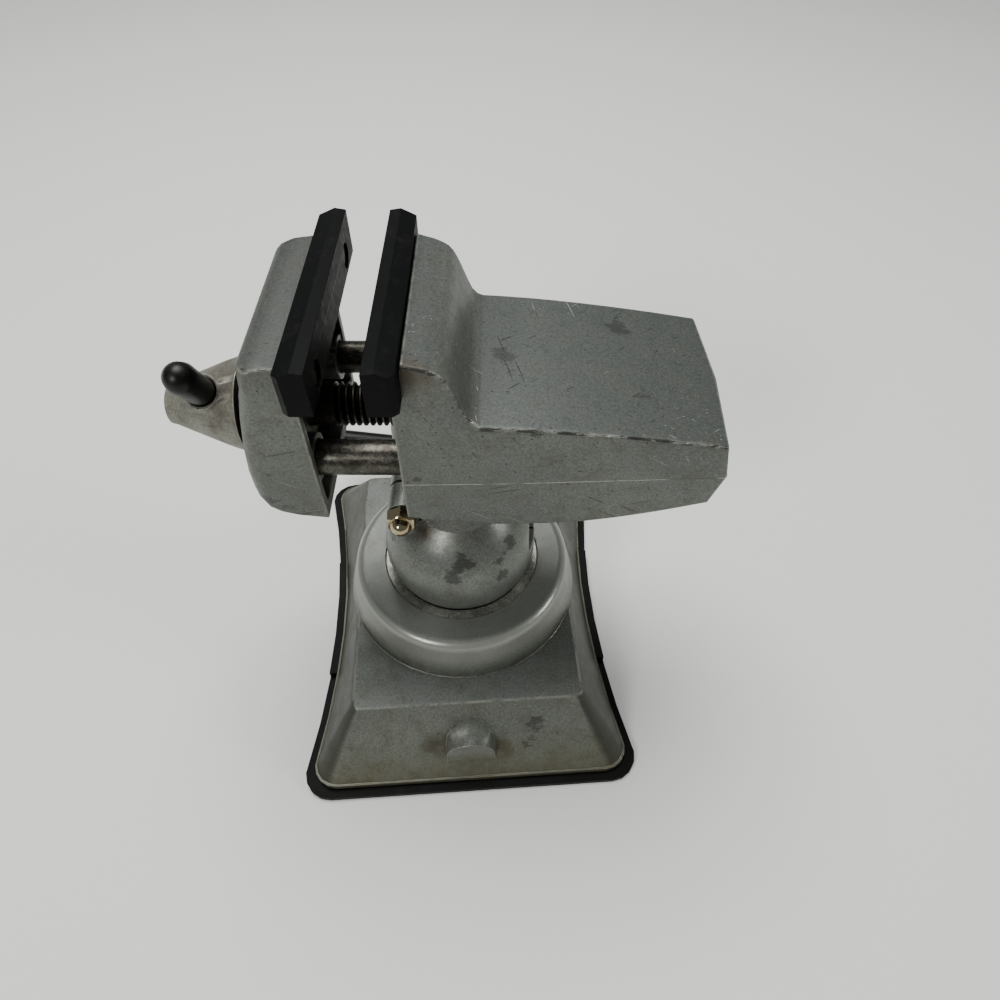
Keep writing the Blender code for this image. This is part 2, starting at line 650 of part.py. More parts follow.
# Round plate that lifts the middle of the rubber, and the yoke round the cam
def pad_plunger(parent):
    plate_bottom = RUBBER_THICK + GAP
    plate_top = plate_bottom + PLATE_THICK
    solid("pad_plate", bar(PLATE_RADIUS, plate_bottom, plate_top, steps=ROUND_STEPS), STEEL, parent)
    low = plate_top + GAP
    inner_top = SHAFT_HEIGHT + CAM_LOW + GAP
    half = YOKE_HALF
    frame = box((-half, -YOKE_THICK / 2, low), (half, YOKE_THICK / 2, inner_top + YOKE_TOP_BAR))
    yoke = solid("pad_yoke", frame, STEEL, parent)
    window = half - YOKE_BAR
    cut(yoke, box((-window, -CAM_WIDTH, low + YOKE_BAR), (window, CAM_WIDTH, inner_top)))


# Cam shaft with its heart-shaped cam, cross pin and retaining clip
def cam_group(parent):
    axle = Vector((0, 0, SHAFT_HEIGHT))
    solid("cam_shaft", bar(SHAFT_RADIUS, -SHAFT_FRONT, SHAFT_REAR, "Y", axle), STEEL, parent, axle)
    outline = []
    for step in range(CAM_STEPS):
        turn = 2 * math.pi * step / CAM_STEPS
        rise = abs(turn / math.pi - 1)
        radius = mix(CAM_HIGH, CAM_LOW, rise)
        outline.append((-radius * math.sin(turn), SHAFT_HEIGHT + radius * math.cos(turn)))
    cam = solid("lift_cam", prism(outline, -CAM_WIDTH / 2, CAM_WIDTH / 2), STEEL, parent, axle)
    hub_end = CAM_WIDTH / 2 + CAM_HUB_LENGTH
    join(cam, cam_hub(axle, hub_end))
    cut(cam, bar(SHAFT_RADIUS + GAP, -CAM_WIDTH, hub_end + OVERRUN, "Y", axle))


def cam_hub(axle, hub_end):
    """The round neck beside the cam."""
    return bar(CAM_HUB_RADIUS, YOKE_THICK / 2 + GAP, hub_end, "Y", axle, ROUND_STEPS)


# Shaft clip inside the front bearing, and the pins of the cam and the lever
def shaft_fittings(parent):
    axle = Vector((0, 0, SHAFT_HEIGHT))
    clip_end = GAP - BEARING_INNER + CLIP_THICK
    clip = [
        (SHAFT_RADIUS + GAP, GAP - BEARING_INNER), (CLIP_RADIUS, GAP - BEARING_INNER),
        (CLIP_RADIUS, clip_end), (SHAFT_RADIUS + GAP, clip_end)]
    solid("shaft_clip", turned(clip, "Y", axle, SMALL_STEPS), STEEL, parent, axle)
    pin_y = CAM_WIDTH / 2 + CAM_HUB_LENGTH / 2
    pin_place = (0, pin_y, SHAFT_HEIGHT)
    half = CAM_HUB_RADIUS
    hole = bar(PIN_RADIUS + GAP, -half - OVERRUN, half + OVERRUN, "X", pin_place, PIN_STEPS)
    for name in ("lift_cam", "cam_shaft"):
        cut(bpy.data.objects[name], hole.copy())
    hole.free()
    solid("cam_pin", bar(PIN_RADIUS, -half, half, "X", pin_place, PIN_STEPS), STEEL, parent, axle)


# Vacuum lever: hub, flat arm and round tang, a moulded grip and a cross pin
def vacuum_lever(parent):
    hub = bar(LEVER_HUB_RADIUS, LEVER_HUB_FRONT, LEVER_HUB_REAR, "Y", steps=ROUND_STEPS)
    arm = solid("lever_arm", hub, STEEL, parent)
    outline = arc((0, 0), LEVER_ARM_WIDTH / 2, -QUARTER, QUARTER, SIDE_STEPS)
    tip = LEVER_ARM_TIP_WIDTH / 2
    outline += [(-GRIP_START + GAP, tip), (-GRIP_START + GAP, -tip)]
    join(arm, prism(outline, LEVER_ARM_FRONT, LEVER_ARM_FRONT + LEVER_ARM_THICK))
    middle = (0, LEVER_ARM_FRONT + LEVER_ARM_THICK / 2, 0)
    tang_start = -GRIP_START + LEVER_ARM_WIDTH / 2
    join(arm, bar(LEVER_TANG_RADIUS - GAP, -LEVER_TANG_END, tang_start, "X", middle))
    blind_end = SHAFT_REAR + GAP
    cut(arm, bar(SHAFT_RADIUS + GAP, LEVER_HUB_FRONT - OVERRUN, blind_end, "Y"))
    pin_place = (0, (LEVER_HUB_FRONT + LEVER_ARM_FRONT) / 2, 0)
    half = LEVER_HUB_RADIUS
    hole = bar(PIN_RADIUS + GAP, -half - OVERRUN, half + OVERRUN, "Z", pin_place, PIN_STEPS)
    cut(arm, hole.copy())
    shaft_hole = hole
    turn = Matrix.Translation((0, 0, SHAFT_HEIGHT)) @ Matrix.Rotation(LEVER_TILT, 4, "Y")
    bmesh.ops.transform(shaft_hole, matrix=turn, verts=shaft_hole.verts)
    cut(bpy.data.objects["cam_shaft"], shaft_hole)
    solid("lever_pin", bar(PIN_RADIUS, -half, half, "Z", pin_place, PIN_STEPS), STEEL, parent)
    dome = [
        (GRIP_RADIUS * math.cos(turn), -GRIP_END + GRIP_RADIUS - GRIP_RADIUS * math.sin(turn))
        for turn in (0, QUARTER / 3, QUARTER * 2 / 3)]
    bore = LEVER_TANG_RADIUS
    bore_end = -LEVER_TANG_END - GAP
    profile = [(0, bore_end), (bore, bore_end), (bore, -GRIP_START), (GRIP_COLLAR_RADIUS, -GRIP_START)]
    profile += dome + [(0, -GRIP_END)]
    solid("lever_grip", turned(profile, "X", middle, SMALL_STEPS), PLASTIC, parent)


def ball_arc(radius, low, high, steps):
    """Points (radius, height) up a ball's surface between two heights."""
    start = math.asin((low - BALL_HEIGHT) / radius)
    end = math.asin((high - BALL_HEIGHT) / radius)
    return arc((0, BALL_HEIGHT), radius, start, end, steps)


# Loose ring between the socket and the ball, its bore a part of a sphere
def seat_ring():
    outer = SOCKET_RADIUS - GAP
    seat = ball_arc(BALL_RADIUS + GAP, SEAT_TOP, SEAT_BOTTOM, SIDE_STEPS)
    profile = [(outer, SEAT_BOTTOM), (outer, SEAT_TOP)] + seat
    solid("seat_ring", turned(profile, steps=RIM_STEPS), STEEL)


# Ball in two halves, squeezed onto the stem by a clamp through their lugs
def ball_halves():
    centre = (0, 0, BALL_HEIGHT)
    bottom = BALL_HEIGHT - BALL_RADIUS
    surface = ball_arc(BALL_RADIUS, bottom, BALL_TOP, 2 * SIDE_STEPS)
    profile = [(0, bottom)] + surface[1:] + [(0, BALL_TOP)]
    clamp_axis = (CLAMP_X, 0, CLAMP_HEIGHT)
    lug_top = arc((CLAMP_X, CLAMP_HEIGHT), LUG_RADIUS, 0, math.pi, 2 * CORNER_STEPS)
    lug = lug_top + [(CLAMP_X - LUG_RADIUS, LUG_ROOT_HEIGHT), (CLAMP_X + LUG_RADIUS, LUG_ROOT_HEIGHT)]
    reach = BALL_RADIUS + OVERRUN
    for name, side in (("ball_front_half", -1), ("ball_rear_half", 1)):
        half = solid(name, turned(profile, steps=ROUND_STEPS), CASTING, None, centre)
        split = side * BALL_SPLIT / 2
        far = -side * reach
        low = (-reach, min(split, far), bottom - OVERRUN)
        high = (reach, max(split, far), BALL_TOP + CLAMP_RISE + LUG_RADIUS + OVERRUN)
        ends = sorted((split, side * LUG_REACH))
        join(half, prism(lug, *ends))
        cut(half, box(low, high))
        cut(half, bar(STEM_RADIUS + GAP, STEM_BOTTOM - GAP, BALL_TOP + OVERRUN, steps=ROUND_STEPS))
        flat_x = BALL_RADIUS - BALL_FLAT_DEPTH
        flat_low = BALL_HEIGHT + BALL_FLAT_RISE
        cut(half, box((flat_x, -BALL_FLAT_HALF, flat_low), (reach, BALL_FLAT_HALF, BALL_TOP + OVERRUN)))
        spot = sorted((side * LUG_REACH, side * (reach + OVERRUN)))
        cut(half, bar(SPOT_RADIUS, *spot, "Y", clamp_axis, 24))
        hole = sorted((split - side * OVERRUN, side * (LUG_REACH + OVERRUN)))
        cut(half, bar(STUD_RADIUS + GAP, *hole, "Y", clamp_axis, SMALL_STEPS))


# Stud through the lugs, a domed nut in front, and a washer and wing knob behind
def ball_clamp():
    axis = Vector((CLAMP_X, 0, CLAMP_HEIGHT))
    nut_seat = -LUG_REACH - GAP
    nut_end = nut_seat - NUT_LENGTH
    bore = STUD_RADIUS + GAP
    corner = NUT_WIDTH / math.sqrt(3)
    nut = solid("cap_nut", bar(corner, nut_end, nut_seat, "Y", axis, 6), CHROME, None, axis)
    turned_face = corner - NUT_CHAMFER
    chamfer = [
        (0, nut_end - OVERRUN), (turned_face - OVERRUN, nut_end - OVERRUN), (turned_face, nut_end),
        (corner, nut_end + NUT_CHAMFER), (corner + OVERRUN, nut_end + NUT_CHAMFER),
        (corner + OVERRUN, nut_seat + OVERRUN), (0, nut_seat + OVERRUN)]
    reshape(nut, "INTERSECT", turned(chamfer, "Y", axis, 24))
    dome = [
        (NUT_DOME_RADIUS * math.cos(turn), nut_end - NUT_DOME_RADIUS * math.sin(turn))
        for turn in (0, QUARTER / 4, QUARTER / 2, QUARTER * 3 / 4)]
    profile = [(0, nut_end + GAP), (NUT_DOME_RADIUS, nut_end + GAP)] + dome
    join(nut, turned(profile + [(0, nut_end - NUT_DOME_RADIUS)], "Y", axis, 24))
    cut(nut, bar(bore, nut_end - GAP, nut_seat + OVERRUN, "Y", axis))
    solid("clamp_stud", bar(STUD_RADIUS, nut_end, STUD_REAR, "Y", axis), STEEL, None, axis)
    washer_front = LUG_REACH + GAP
    washer_back = washer_front + WASHER_THICK
    washer = [
        (bore, washer_front), (WASHER_RADIUS, washer_front),
        (WASHER_RADIUS, washer_back), (bore, washer_back)]
    solid("clamp_washer", turned(washer, "Y", axis, 24), STEEL, None, axis)
    knob_front = CLAMP_KNOB_START
    wing_front = CLAMP_KNOB_END - WING_THICK
    profile = [
        (0, knob_front), (CLAMP_KNOB_RADIUS, knob_front),
        (CLAMP_KNOB_RADIUS, knob_front + WASHER_THICK), (CLAMP_KNOB_WAIST, (knob_front + wing_front) / 2),
        (CLAMP_KNOB_RADIUS, wing_front), (CLAMP_KNOB_RADIUS, CLAMP_KNOB_END - WASHER_THICK),
        (CLAMP_KNOB_WAIST, CLAMP_KNOB_END), (0, CLAMP_KNOB_END)]
    knob = solid("clamp_knob", turned(profile, "Y", axis, 24), CASTING, None, axis)
    half = WING_WIDTH / 2
    reach = WING_REACH - half
    wing = arc((CLAMP_X, CLAMP_HEIGHT + reach), half, 0, math.pi, CORNER_STEPS * 2)
    wing += arc((CLAMP_X, CLAMP_HEIGHT - reach), half, math.pi, 2 * math.pi, CORNER_STEPS * 2)
    join(knob, prism(wing, wing_front, CLAMP_KNOB_END - GAP))
    cut(knob, bar(bore, knob_front - OVERRUN, STUD_REAR + GAP, "Y", axis))


def head_top(x):
    """The deck's height along the head, behind the raised jaw."""
    share = (x - HEAD_TAPER_START) / (HEAD_REAR - HEAD_TAPER_START)
    return HEAD_DECK - (HEAD_DECK - HEAD_DECK_REAR) * max(share, 0) ** DECK_FALL_SHARE


def head_belly(x):
    """The underside's height along the head: drawn up at both ends."""
    if x < BELLY_LOW_X:
        share = (BELLY_LOW_X - x) / (BELLY_LOW_X - HEAD_FRONT)
        return HEAD_BELLY + BELLY_FRONT_RISE * share ** 2
    share = (x - BELLY_LOW_X) / (HEAD_REAR_FOOT - BELLY_LOW_X)
    return HEAD_BELLY + BELLY_REAR_RISE * share ** 2


def head_stations():
    """Points along the head as (x, z, facet share), from the pad's seat to the rear."""
    edge = HEAD_EDGE * EDGE_SHARE
    stations = [
        (HEAD_FRONT, PAD_SEAT - edge, 0), (HEAD_FRONT + edge, PAD_SEAT, 0),
        (FIXED_FACE, PAD_SEAT, 0), (FIXED_FACE + GAP / 2, FIXED_TOP - edge, 0)]
    for (along, up), facet in zip(FIXED_TOP_SHARES, FACET_SHARES):
        stations.append((mix(FIXED_FACE, FIXED_CREASE, along), mix(HEAD_DECK, FIXED_TOP, up), facet))
    last = HEAD_REAR - edge
    for step in range(1, DECK_STEPS + 1):
        place = mix(FIXED_CREASE, last, step / DECK_STEPS)
        stations.append((place, head_top(place), 0))
    stations.append((HEAD_REAR, head_top(HEAD_REAR) - edge, 0))
    return stations


def edge_columns():
    """Columns across a width as (side, bend, drop), rounded at both edges and flat between."""
    right = []
    for step in range(EDGE_STEPS + 1):
        turn = QUARTER * step / EDGE_STEPS
        right.append((1, math.sin(turn), 1 - math.cos(turn)))
    left = [(-side, bend, drop) for side, bend, drop in reversed(right)]
    return left + [(0, 0, 0)] + right


def across(column, half, edge):
    """Where a column stands on a width, given its edge's radius."""
    side, bend, drop = column
    return side * (half - edge + edge * bend)


# Head casting: a lofted shell with the fixed jaw, its column, bores and hollow underside
def head_body():
    stations = head_stations()
    columns = edge_columns()
    count = len(stations)

    def place(station, column, level):
        x, top, facet = stations[station]
        drop = columns[column][2]
        low_x = mix(HEAD_FRONT, HEAD_REAR_FOOT, station / (count - 1))
        taper = max(x - HEAD_TAPER_START, 0) / (HEAD_REAR - HEAD_TAPER_START)
        half = mix(HEAD_HALF, HEAD_REAR_HALF, taper)
        middle = across(columns[column], half, HEAD_EDGE)
        bow_share = max(0, (station - count + BOW_STATIONS) / (BOW_STATIONS - 1))
        bow = HEAD_BOW * (1 - (middle / half) ** 2) * bow_share
        if level == 2:
            narrow = half - HEAD_DRAFT * (top - SCREW_HEIGHT)
            width = mix(HEAD_EDGE, FACET_WIDTH, facet)
            depth = mix(HEAD_EDGE, FACET_DEPTH, facet)
            return (x + bow, across(columns[column], narrow, width), top - depth * drop)
        if level == 1:
            return (mix(x, low_x, HEAD_LEAN_SHARE) + bow + HEAD_BULGE * bow_share, middle, SCREW_HEIGHT)
        low = head_belly(low_x)
        narrow = half - HEAD_DRAFT * (SCREW_HEIGHT - low)
        return (low_x + bow, across(columns[column], narrow, HEAD_EDGE), low + HEAD_EDGE * drop)

    head = solid("head_body", block((count, len(columns), 3), place), CASTING)
    low = HEAD_BELLY - OVERRUN
    pocket = [(POCKET_START, low), (POCKET_START, POCKET_TOP), (HEAD_TAPER_START, POCKET_TOP)]
    for step in range(1, 4):
        x = mix(HEAD_TAPER_START, POCKET_END, step / 3)
        pocket.append((x, head_top(x) - CAST_WALL))
    cut(head, prism(pocket + [(POCKET_END, low)], -POCKET_HALF, POCKET_HALF))
    foot = head_belly(0) + GAP
    column = bar(COLUMN_RADIUS, foot, POCKET_TOP + CAST_WALL / 2, steps=ROUND_STEPS)
    join(head, column)
    nut_axis = (0, 0, SCREW_HEIGHT)
    wall = HEAD_FRONT + GAP
    for side in (-1, 1):
        join(head, bar(ROD_BOSS_RADIUS, wall, ROD_BOSS_END, "X", (0, side * ROD_OFFSET, SCREW_HEIGHT), 24))
    mouth = HEAD_FRONT - OVERRUN
    cut(head, bar(SCREW_RADIUS + SLIDE_GAP, mouth, COLUMN_RADIUS + OVERRUN, "X", nut_axis, 32))
    cut(head, bar(DRIVE_NUT_RADIUS + GAP, mouth, NUT_POCKET_END, "X", nut_axis, 32))
    run = ROD_END + CLOSING_TRAVEL + OVERRUN
    bores = [bar(ROD_RADIUS + SLIDE_GAP, mouth, run, "X", (0, side * ROD_OFFSET, SCREW_HEIGHT), 24)
             for side in (-1, 1)]
    cut(head, both(*bores))
    cut(head, bar(STEM_RADIUS + GAP, low, STEM_TOP + GAP, steps=ROUND_STEPS))
    pin_place = (0, 0, STEM_PIN_HEIGHT)
    hole_end = COLUMN_RADIUS + OVERRUN
    cut(head, bar(PIN_RADIUS + GAP, -hole_end, hole_end, "Y", pin_place, PIN_STEPS))
    holes = [
        bar(PAD_SCREW_SHANK + GAP, FIXED_FACE - OVERRUN, pad_screw_end(FIXED_FACE, 1) + GAP, "X",
            (0, side * PAD_SCREW_OFFSET, PAD_SCREW_HEIGHT), PIN_STEPS)
        for side in (-1, 1)]
    cut(head, both(*holes))


# Stem from the split ball up into the head, its cross pin, and the nut that the screw drives
def head_fittings():
    stem = bar(STEM_RADIUS, STEM_BOTTOM, STEM_TOP, steps=ROUND_STEPS)
    stem = solid("head_stem", stem, STEEL)
    pin_place = (0, 0, STEM_PIN_HEIGHT)
    reach = STEM_RADIUS + OVERRUN
    cut(stem, bar(PIN_RADIUS + GAP, -reach, reach, "Y", pin_place, PIN_STEPS))
    solid("stem_pin", bar(PIN_RADIUS, -STEM_PIN_HALF, STEM_PIN_HALF, "Y", pin_place, PIN_STEPS), STEEL)
    start = HEAD_FRONT + DRIVE_NUT_INSET
    end = NUT_POCKET_END - GAP
    bore = SCREW_RADIUS + SLIDE_GAP
    nut = [(bore, start), (DRIVE_NUT_RADIUS, start), (DRIVE_NUT_RADIUS, end), (bore, end)]
    solid("drive_nut", turned(nut, "X", (0, 0, SCREW_HEIGHT), 32), BRONZE)


def jaw_depth(height):
    """How far the moving jaw's back lies behind its rim at a height."""
    heights = [mix(JAW_FOOT, JAW_TOP, share) for share, depth in JAW_BACK_SHARES]
    depths = [JAW_DEPTH * depth for share, depth in JAW_BACK_SHARES]
    return float(np.interp(height, heights, depths))


def jaw_block(heights, half, inset, mouth):
    """The moving jaw's form between heights, its back corners rounded and its sides drafted."""
    corner = JAW_CORNER - inset / 2
    columns = edge_columns()

    def place(layer, column, level):
        drop = columns[column][2]
        height = heights[level]
        side = across(columns[column], half - HEAD_DRAFT * abs(height - SCREW_HEIGHT), corner)
        if layer == 1:
            return (mouth(height), side, height - JAW_FRONT_DROP * (level == 0) * (inset == 0))
        return (RIM_X - jaw_depth(height) + inset + corner * drop, side, height)

    return block((2, len(columns), len(heights)), place)


def rim(height):
    """The moving jaw's front: set back above the pad's seat."""
    return RIM_X if height < PAD_SEAT else JAW_REST_X


def hollow_mouth(height):
    """The open side of the moving jaw's hollow."""
    return RIM_X + OVERRUN


# Moving jaw casting: a shell with bosses for the rods and the screw
def moving_jaw():
    heights = [mix(JAW_FOOT, JAW_TOP, share) for share, depth in JAW_BACK_SHARES]
    heights = sorted(heights + [PAD_SEAT - GAP / 2, PAD_SEAT])
    jaw = solid("moving_jaw", jaw_block(heights, HEAD_HALF, 0, rim), CASTING)
    inner = [height for height in heights if JAW_HOLLOW_FOOT < height < JAW_HOLLOW_TOP]
    inner = [JAW_HOLLOW_FOOT] + inner + [JAW_HOLLOW_TOP]
    cut(jaw, jaw_block(inner, HEAD_HALF - JAW_WALL, JAW_WALL, hollow_mouth))
    axle = (0, 0, SCREW_HEIGHT)
    join(jaw, bar(JAW_BOSS_RADIUS, JAW_BOSS_OUTER, JAW_BOSS_INNER, "X", axle, ROUND_STEPS))
    back = ROD_START - GAP
    for side in (-1, 1):
        centre = (0, side * ROD_OFFSET, SCREW_HEIGHT)
        join(jaw, bar(ROD_BOSS_RADIUS, back - GAP, JAW_ROD_BOSS_END, "X", centre, 24))
    hole_start = JAW_BOSS_OUTER - OVERRUN
    cut(jaw, bar(SCREW_RADIUS + SLIDE_GAP, hole_start, JAW_BOSS_INNER + OVERRUN, "X", axle, 32))
    bores = [bar(ROD_RADIUS + GAP, back, RIM_X + OVERRUN, "X", (0, side * ROD_OFFSET, SCREW_HEIGHT), 24)
             for side in (-1, 1)]
    cut(jaw, both(*bores))
    holes = [
        bar(PAD_SCREW_SHANK + GAP, pad_screw_end(JAW_REST_X, -1) - GAP, JAW_REST_X + OVERRUN, "X",
            (0, side * PAD_SCREW_OFFSET, PAD_SCREW_HEIGHT), PIN_STEPS)
        for side in (-1, 1)]
    cut(jaw, both(*holes))


def pad_screw_end(face, away):
    """Where a pad screw's tip lies behind a casting's face."""
    grip = face - away * (PAD_THICK + GAP)
    return grip + away * (PAD_SCREW_SINK + PAD_SCREW_LENGTH)


# A jaw pad with its ridge, chamfer, cut-back ends and two sunk screws
def jaw_pad(name, face, away):
    back = face - away * GAP
    grip = back - away * PAD_THICK
    crown = grip + away * PAD_RIDGE
    outline = [
        (back, PAD_BOTTOM), (back, PAD_TOP - PAD_BACK_DROP), (crown, PAD_TOP),
        (grip, PAD_TOP - PAD_CHAMFER), (grip, PAD_BOTTOM)]
    pad = solid(name, pad_form(outline, away), BLACK_PAD)
    for side in (-1, 1):
        centre = (0, side * PAD_SCREW_OFFSET, PAD_SCREW_HEIGHT)
        sink = grip + away * (PAD_SCREW_SINK + PAD_SCREW_HEAD_LENGTH + GAP)
        wide = sorted((grip - away * OVERRUN, sink))
        cut(pad, bar(PAD_SCREW_HEAD + GAP, *wide, "X", centre))
        narrow = sorted((sink - away * GAP, back + away * OVERRUN))
        cut(pad, bar(PAD_SCREW_SHANK + GAP, *narrow, "X", centre, PIN_STEPS))
        top = grip + away * PAD_SCREW_SINK
        step = top + away * PAD_SCREW_HEAD_LENGTH
        tip = top + away * PAD_SCREW_LENGTH
        profile = [(0, top), (PAD_SCREW_HEAD, top), (PAD_SCREW_HEAD, step), (PAD_SCREW_SHANK, step)]
        profile += [(PAD_SCREW_SHANK, tip), (0, tip)]
        ending = "front" if side < 0 else "rear"
        solid("_".join((name, "screw", ending)), turned(profile, "X", centre, PIN_STEPS), STEEL)


def pad_form(outline, away):
    """A pad's cross-section carried along Y, the corners of its ends cut back on the casting's side."""
    back = outline[0][0]
    limit = back - away * PAD_END_DEPTH
    rings = []
    for side in (-1, 1):
        shoulder = [(x, side * (PAD_HALF - PAD_END_LENGTH), z) for x, z in outline]
        point = [(min(x * away, limit * away) * away, side * PAD_HALF, z) for x, z in outline]
        rings += [point, shoulder] if side < 0 else [shoulder, point]
    return loft(rings)


# Lead screw, the washer and collar that hold it in the moving jaw, and the guide rods
def screw_and_rods():
    axle = Vector((0, 0, SCREW_HEIGHT))
    screw = solid("lead_screw", bar(SCREW_RADIUS, SCREW_START, SCREW_END, "X", axle, 32), STEEL, None, axle)
    bore = SCREW_RADIUS + GAP
    outer = JAW_BOSS_OUTER - GAP
    washer = [(bore, outer), (THRUST_WASHER_RADIUS, outer)]
    washer += [(THRUST_WASHER_RADIUS, outer - THRUST_WASHER_THICK), (bore, outer - THRUST_WASHER_THICK)]
    solid("thrust_washer", turned(washer, "X", axle, 32), STEEL, None, axle)
    near = JAW_BOSS_INNER + GAP
    far = near + THRUST_COLLAR_LENGTH
    ring = [(bore, near), (THRUST_COLLAR_RADIUS, near), (THRUST_COLLAR_RADIUS, far), (bore, far)]
    collar = solid("thrust_collar", turned(ring, "X", axle, 32), STEEL, None, axle)
    pin_x = (near + far) / 2
    half = THRUST_COLLAR_RADIUS
    hole = bar(PIN_RADIUS + GAP, -half - OVERRUN, half + OVERRUN, "Z", (pin_x, 0, SCREW_HEIGHT), PIN_STEPS)
    cut(collar, hole.copy())
    cut(screw, hole)
    pin = bar(PIN_RADIUS, -half, half, "Z", (pin_x, 0, SCREW_HEIGHT), PIN_STEPS)
    solid("collar_pin", pin, STEEL, None, axle)
    for name, side in (("guide_rod_front", -1), ("guide_rod_rear", 1)):
        centre = (0, side * ROD_OFFSET, SCREW_HEIGHT)
        solid(name, bar(ROD_RADIUS, ROD_START, ROD_END, "X", centre, 24), STEEL)


# Crank hub with its radial knob and cross pin, in a frame turned to the knob
def crank(parent):
    profile = [(0, HUB_END), (HUB_TIP_RADIUS - GAP, HUB_END), (HUB_TIP_RADIUS, HUB_TIP_X)]
    profile += [(HUB_CROWN_RADIUS, HUB_CROWN_X), (HUB_RADIUS, HUB_START), (0, HUB_START)]
    hub = solid("crank_hub", turned(profile, "X"), ZINC, parent)
    place = (KNOB_X, 0, 0)
    join(hub, bar(KNOB_BOSS_RADIUS, 0, KNOB_BOSS_REACH, "Z", place, 24))
    cut(hub, bar(SCREW_RADIUS + GAP, HUB_BORE_END, HUB_START + OVERRUN, "X", steps=32))
    cut(hub, bar(KNOB_RADIUS + GAP, KNOB_ROOT - GAP, KNOB_BOSS_REACH + OVERRUN, "Z", place, 24))
    half = HUB_PIN_HALF
    hole = bar(PIN_RADIUS + GAP, -half - OVERRUN, half + OVERRUN, "Y", (HUB_PIN_X, 0, 0), PIN_STEPS)
    cut(hub, hole.copy())
    turn = Matrix.Translation((0, 0, SCREW_HEIGHT)) @ Matrix.Rotation(KNOB_ANGLE, 4, "X")
    bmesh.ops.transform(hole, matrix=turn, verts=hole.verts)
    cut(bpy.data.objects["lead_screw"], hole)
    solid("hub_pin", bar(PIN_RADIUS, -half, half, "Y", (HUB_PIN_X, 0, 0), PIN_STEPS), STEEL, parent)
    crown = KNOB_TIP - KNOB_TIP_RADIUS
    dome = [
        (KNOB_TIP_RADIUS * math.cos(turn), crown + KNOB_TIP_RADIUS * math.sin(turn))
        for turn in (0, QUARTER / 3, QUARTER * 2 / 3)]
    knob = [(0, KNOB_ROOT), (KNOB_RADIUS, KNOB_ROOT), (KNOB_RADIUS, KNOB_BOSS_REACH + GAP)]
    solid("crank_knob", turned(knob + dome + [(0, KNOB_TIP)], "Z", place, 24), PLASTIC, parent)


base_frame = group("base_frame", rotation=(0, 0, BASE_TURN))
suction_pad(base_frame)
base_casting(base_frame)
pad_plunger(base_frame)
cam_group(base_frame)
shaft_fittings(base_frame)
lever_frame = group("lever_frame", (0, 0, SHAFT_HEIGHT), (0, LEVER_TILT, 0), base_frame)
vacuum_lever(lever_frame)
seat_ring()
ball_halves()
ball_clamp()
head_body()
head_fittings()
moving_jaw()
jaw_pad("jaw_pad_fixed", FIXED_FACE, 1)
jaw_pad("jaw_pad_moving", JAW_REST_X, -1)
screw_and_rods()
crank_frame = group("crank_frame", (0, 0, SCREW_HEIGHT), (KNOB_ANGLE, 0, 0))
crank(crank_frame)
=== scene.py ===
"""The looks of a ball vise: worn grey castings, a split ball and a vacuum base edged in rubber."""
import math

import bmesh
import bpy
from mathutils import Matrix, Vector


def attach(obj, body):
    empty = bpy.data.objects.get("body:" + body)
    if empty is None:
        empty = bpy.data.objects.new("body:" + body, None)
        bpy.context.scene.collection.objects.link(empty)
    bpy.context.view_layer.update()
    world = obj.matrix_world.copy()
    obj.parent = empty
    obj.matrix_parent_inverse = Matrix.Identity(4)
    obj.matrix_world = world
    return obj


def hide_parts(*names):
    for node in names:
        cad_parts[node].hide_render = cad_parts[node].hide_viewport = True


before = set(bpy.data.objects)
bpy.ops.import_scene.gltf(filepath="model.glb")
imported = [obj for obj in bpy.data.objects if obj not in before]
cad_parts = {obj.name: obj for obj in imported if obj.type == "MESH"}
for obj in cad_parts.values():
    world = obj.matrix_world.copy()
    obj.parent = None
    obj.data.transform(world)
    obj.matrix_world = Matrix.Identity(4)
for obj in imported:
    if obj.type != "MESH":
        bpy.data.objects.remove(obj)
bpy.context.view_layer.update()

# Studio: a plain pale floor in bright, soft light. The sky is darker than the floor, so flat tops
# stay deep grey while round flanks pick the floor's brightness up, as pale cloth does round metal.
# Sizes and places are in metres, here and below.
FLOOR_SIZE = 4.0
SKY_STRENGTH = 0.28
AIM = (0, 0, 0.08)
# Each light: name, place, width across, and watts.
LIGHTS = (
    ("key_light", (-0.15, 0.35, 1.15), 0.80, 17.0),
    ("front_light", (-0.57, -0.84, 0.80), 0.32, 6.5),
    ("right_light", (1.07, -0.15, 0.60), 0.28, 3.6))


def colour(code):
    """An sRGB hex colour as linear light, with full alpha."""
    channels = [int(code[place:place + 2], 16) / 255 for place in (1, 3, 5)]
    linear = [c / 12.92 if c <= 0.04045 else ((c + 0.055) / 1.055) ** 2.4 for c in channels]
    return (*linear, 1.0)


def blank(name):
    """A new material with its node tree and its Principled shader."""
    made = bpy.data.materials.new(name)
    made.use_nodes = True
    return made, made.node_tree, made.node_tree.nodes["Principled BSDF"]


floor_paper, _, shader = blank("matte_floor_paper")
shader.inputs["Base Color"].default_value = colour("#DEE0DB")
shader.inputs["Roughness"].default_value = 0.9
bm = bmesh.new()
bmesh.ops.create_grid(bm, x_segments=1, y_segments=1, size=FLOOR_SIZE / 2)
floor_mesh = bpy.data.meshes.new("studio_floor")
bm.to_mesh(floor_mesh)
bm.free()
floor = bpy.data.objects.new("studio_floor", floor_mesh)
floor.data.materials.append(floor_paper)
bpy.context.scene.collection.objects.link(floor)

sky = bpy.data.worlds.new("studio_sky")
sky.use_nodes = True
sky.node_tree.nodes["Background"].inputs["Color"].default_value = colour("#E6E8E6")
sky.node_tree.nodes["Background"].inputs["Strength"].default_value = SKY_STRENGTH
bpy.context.scene.world = sky

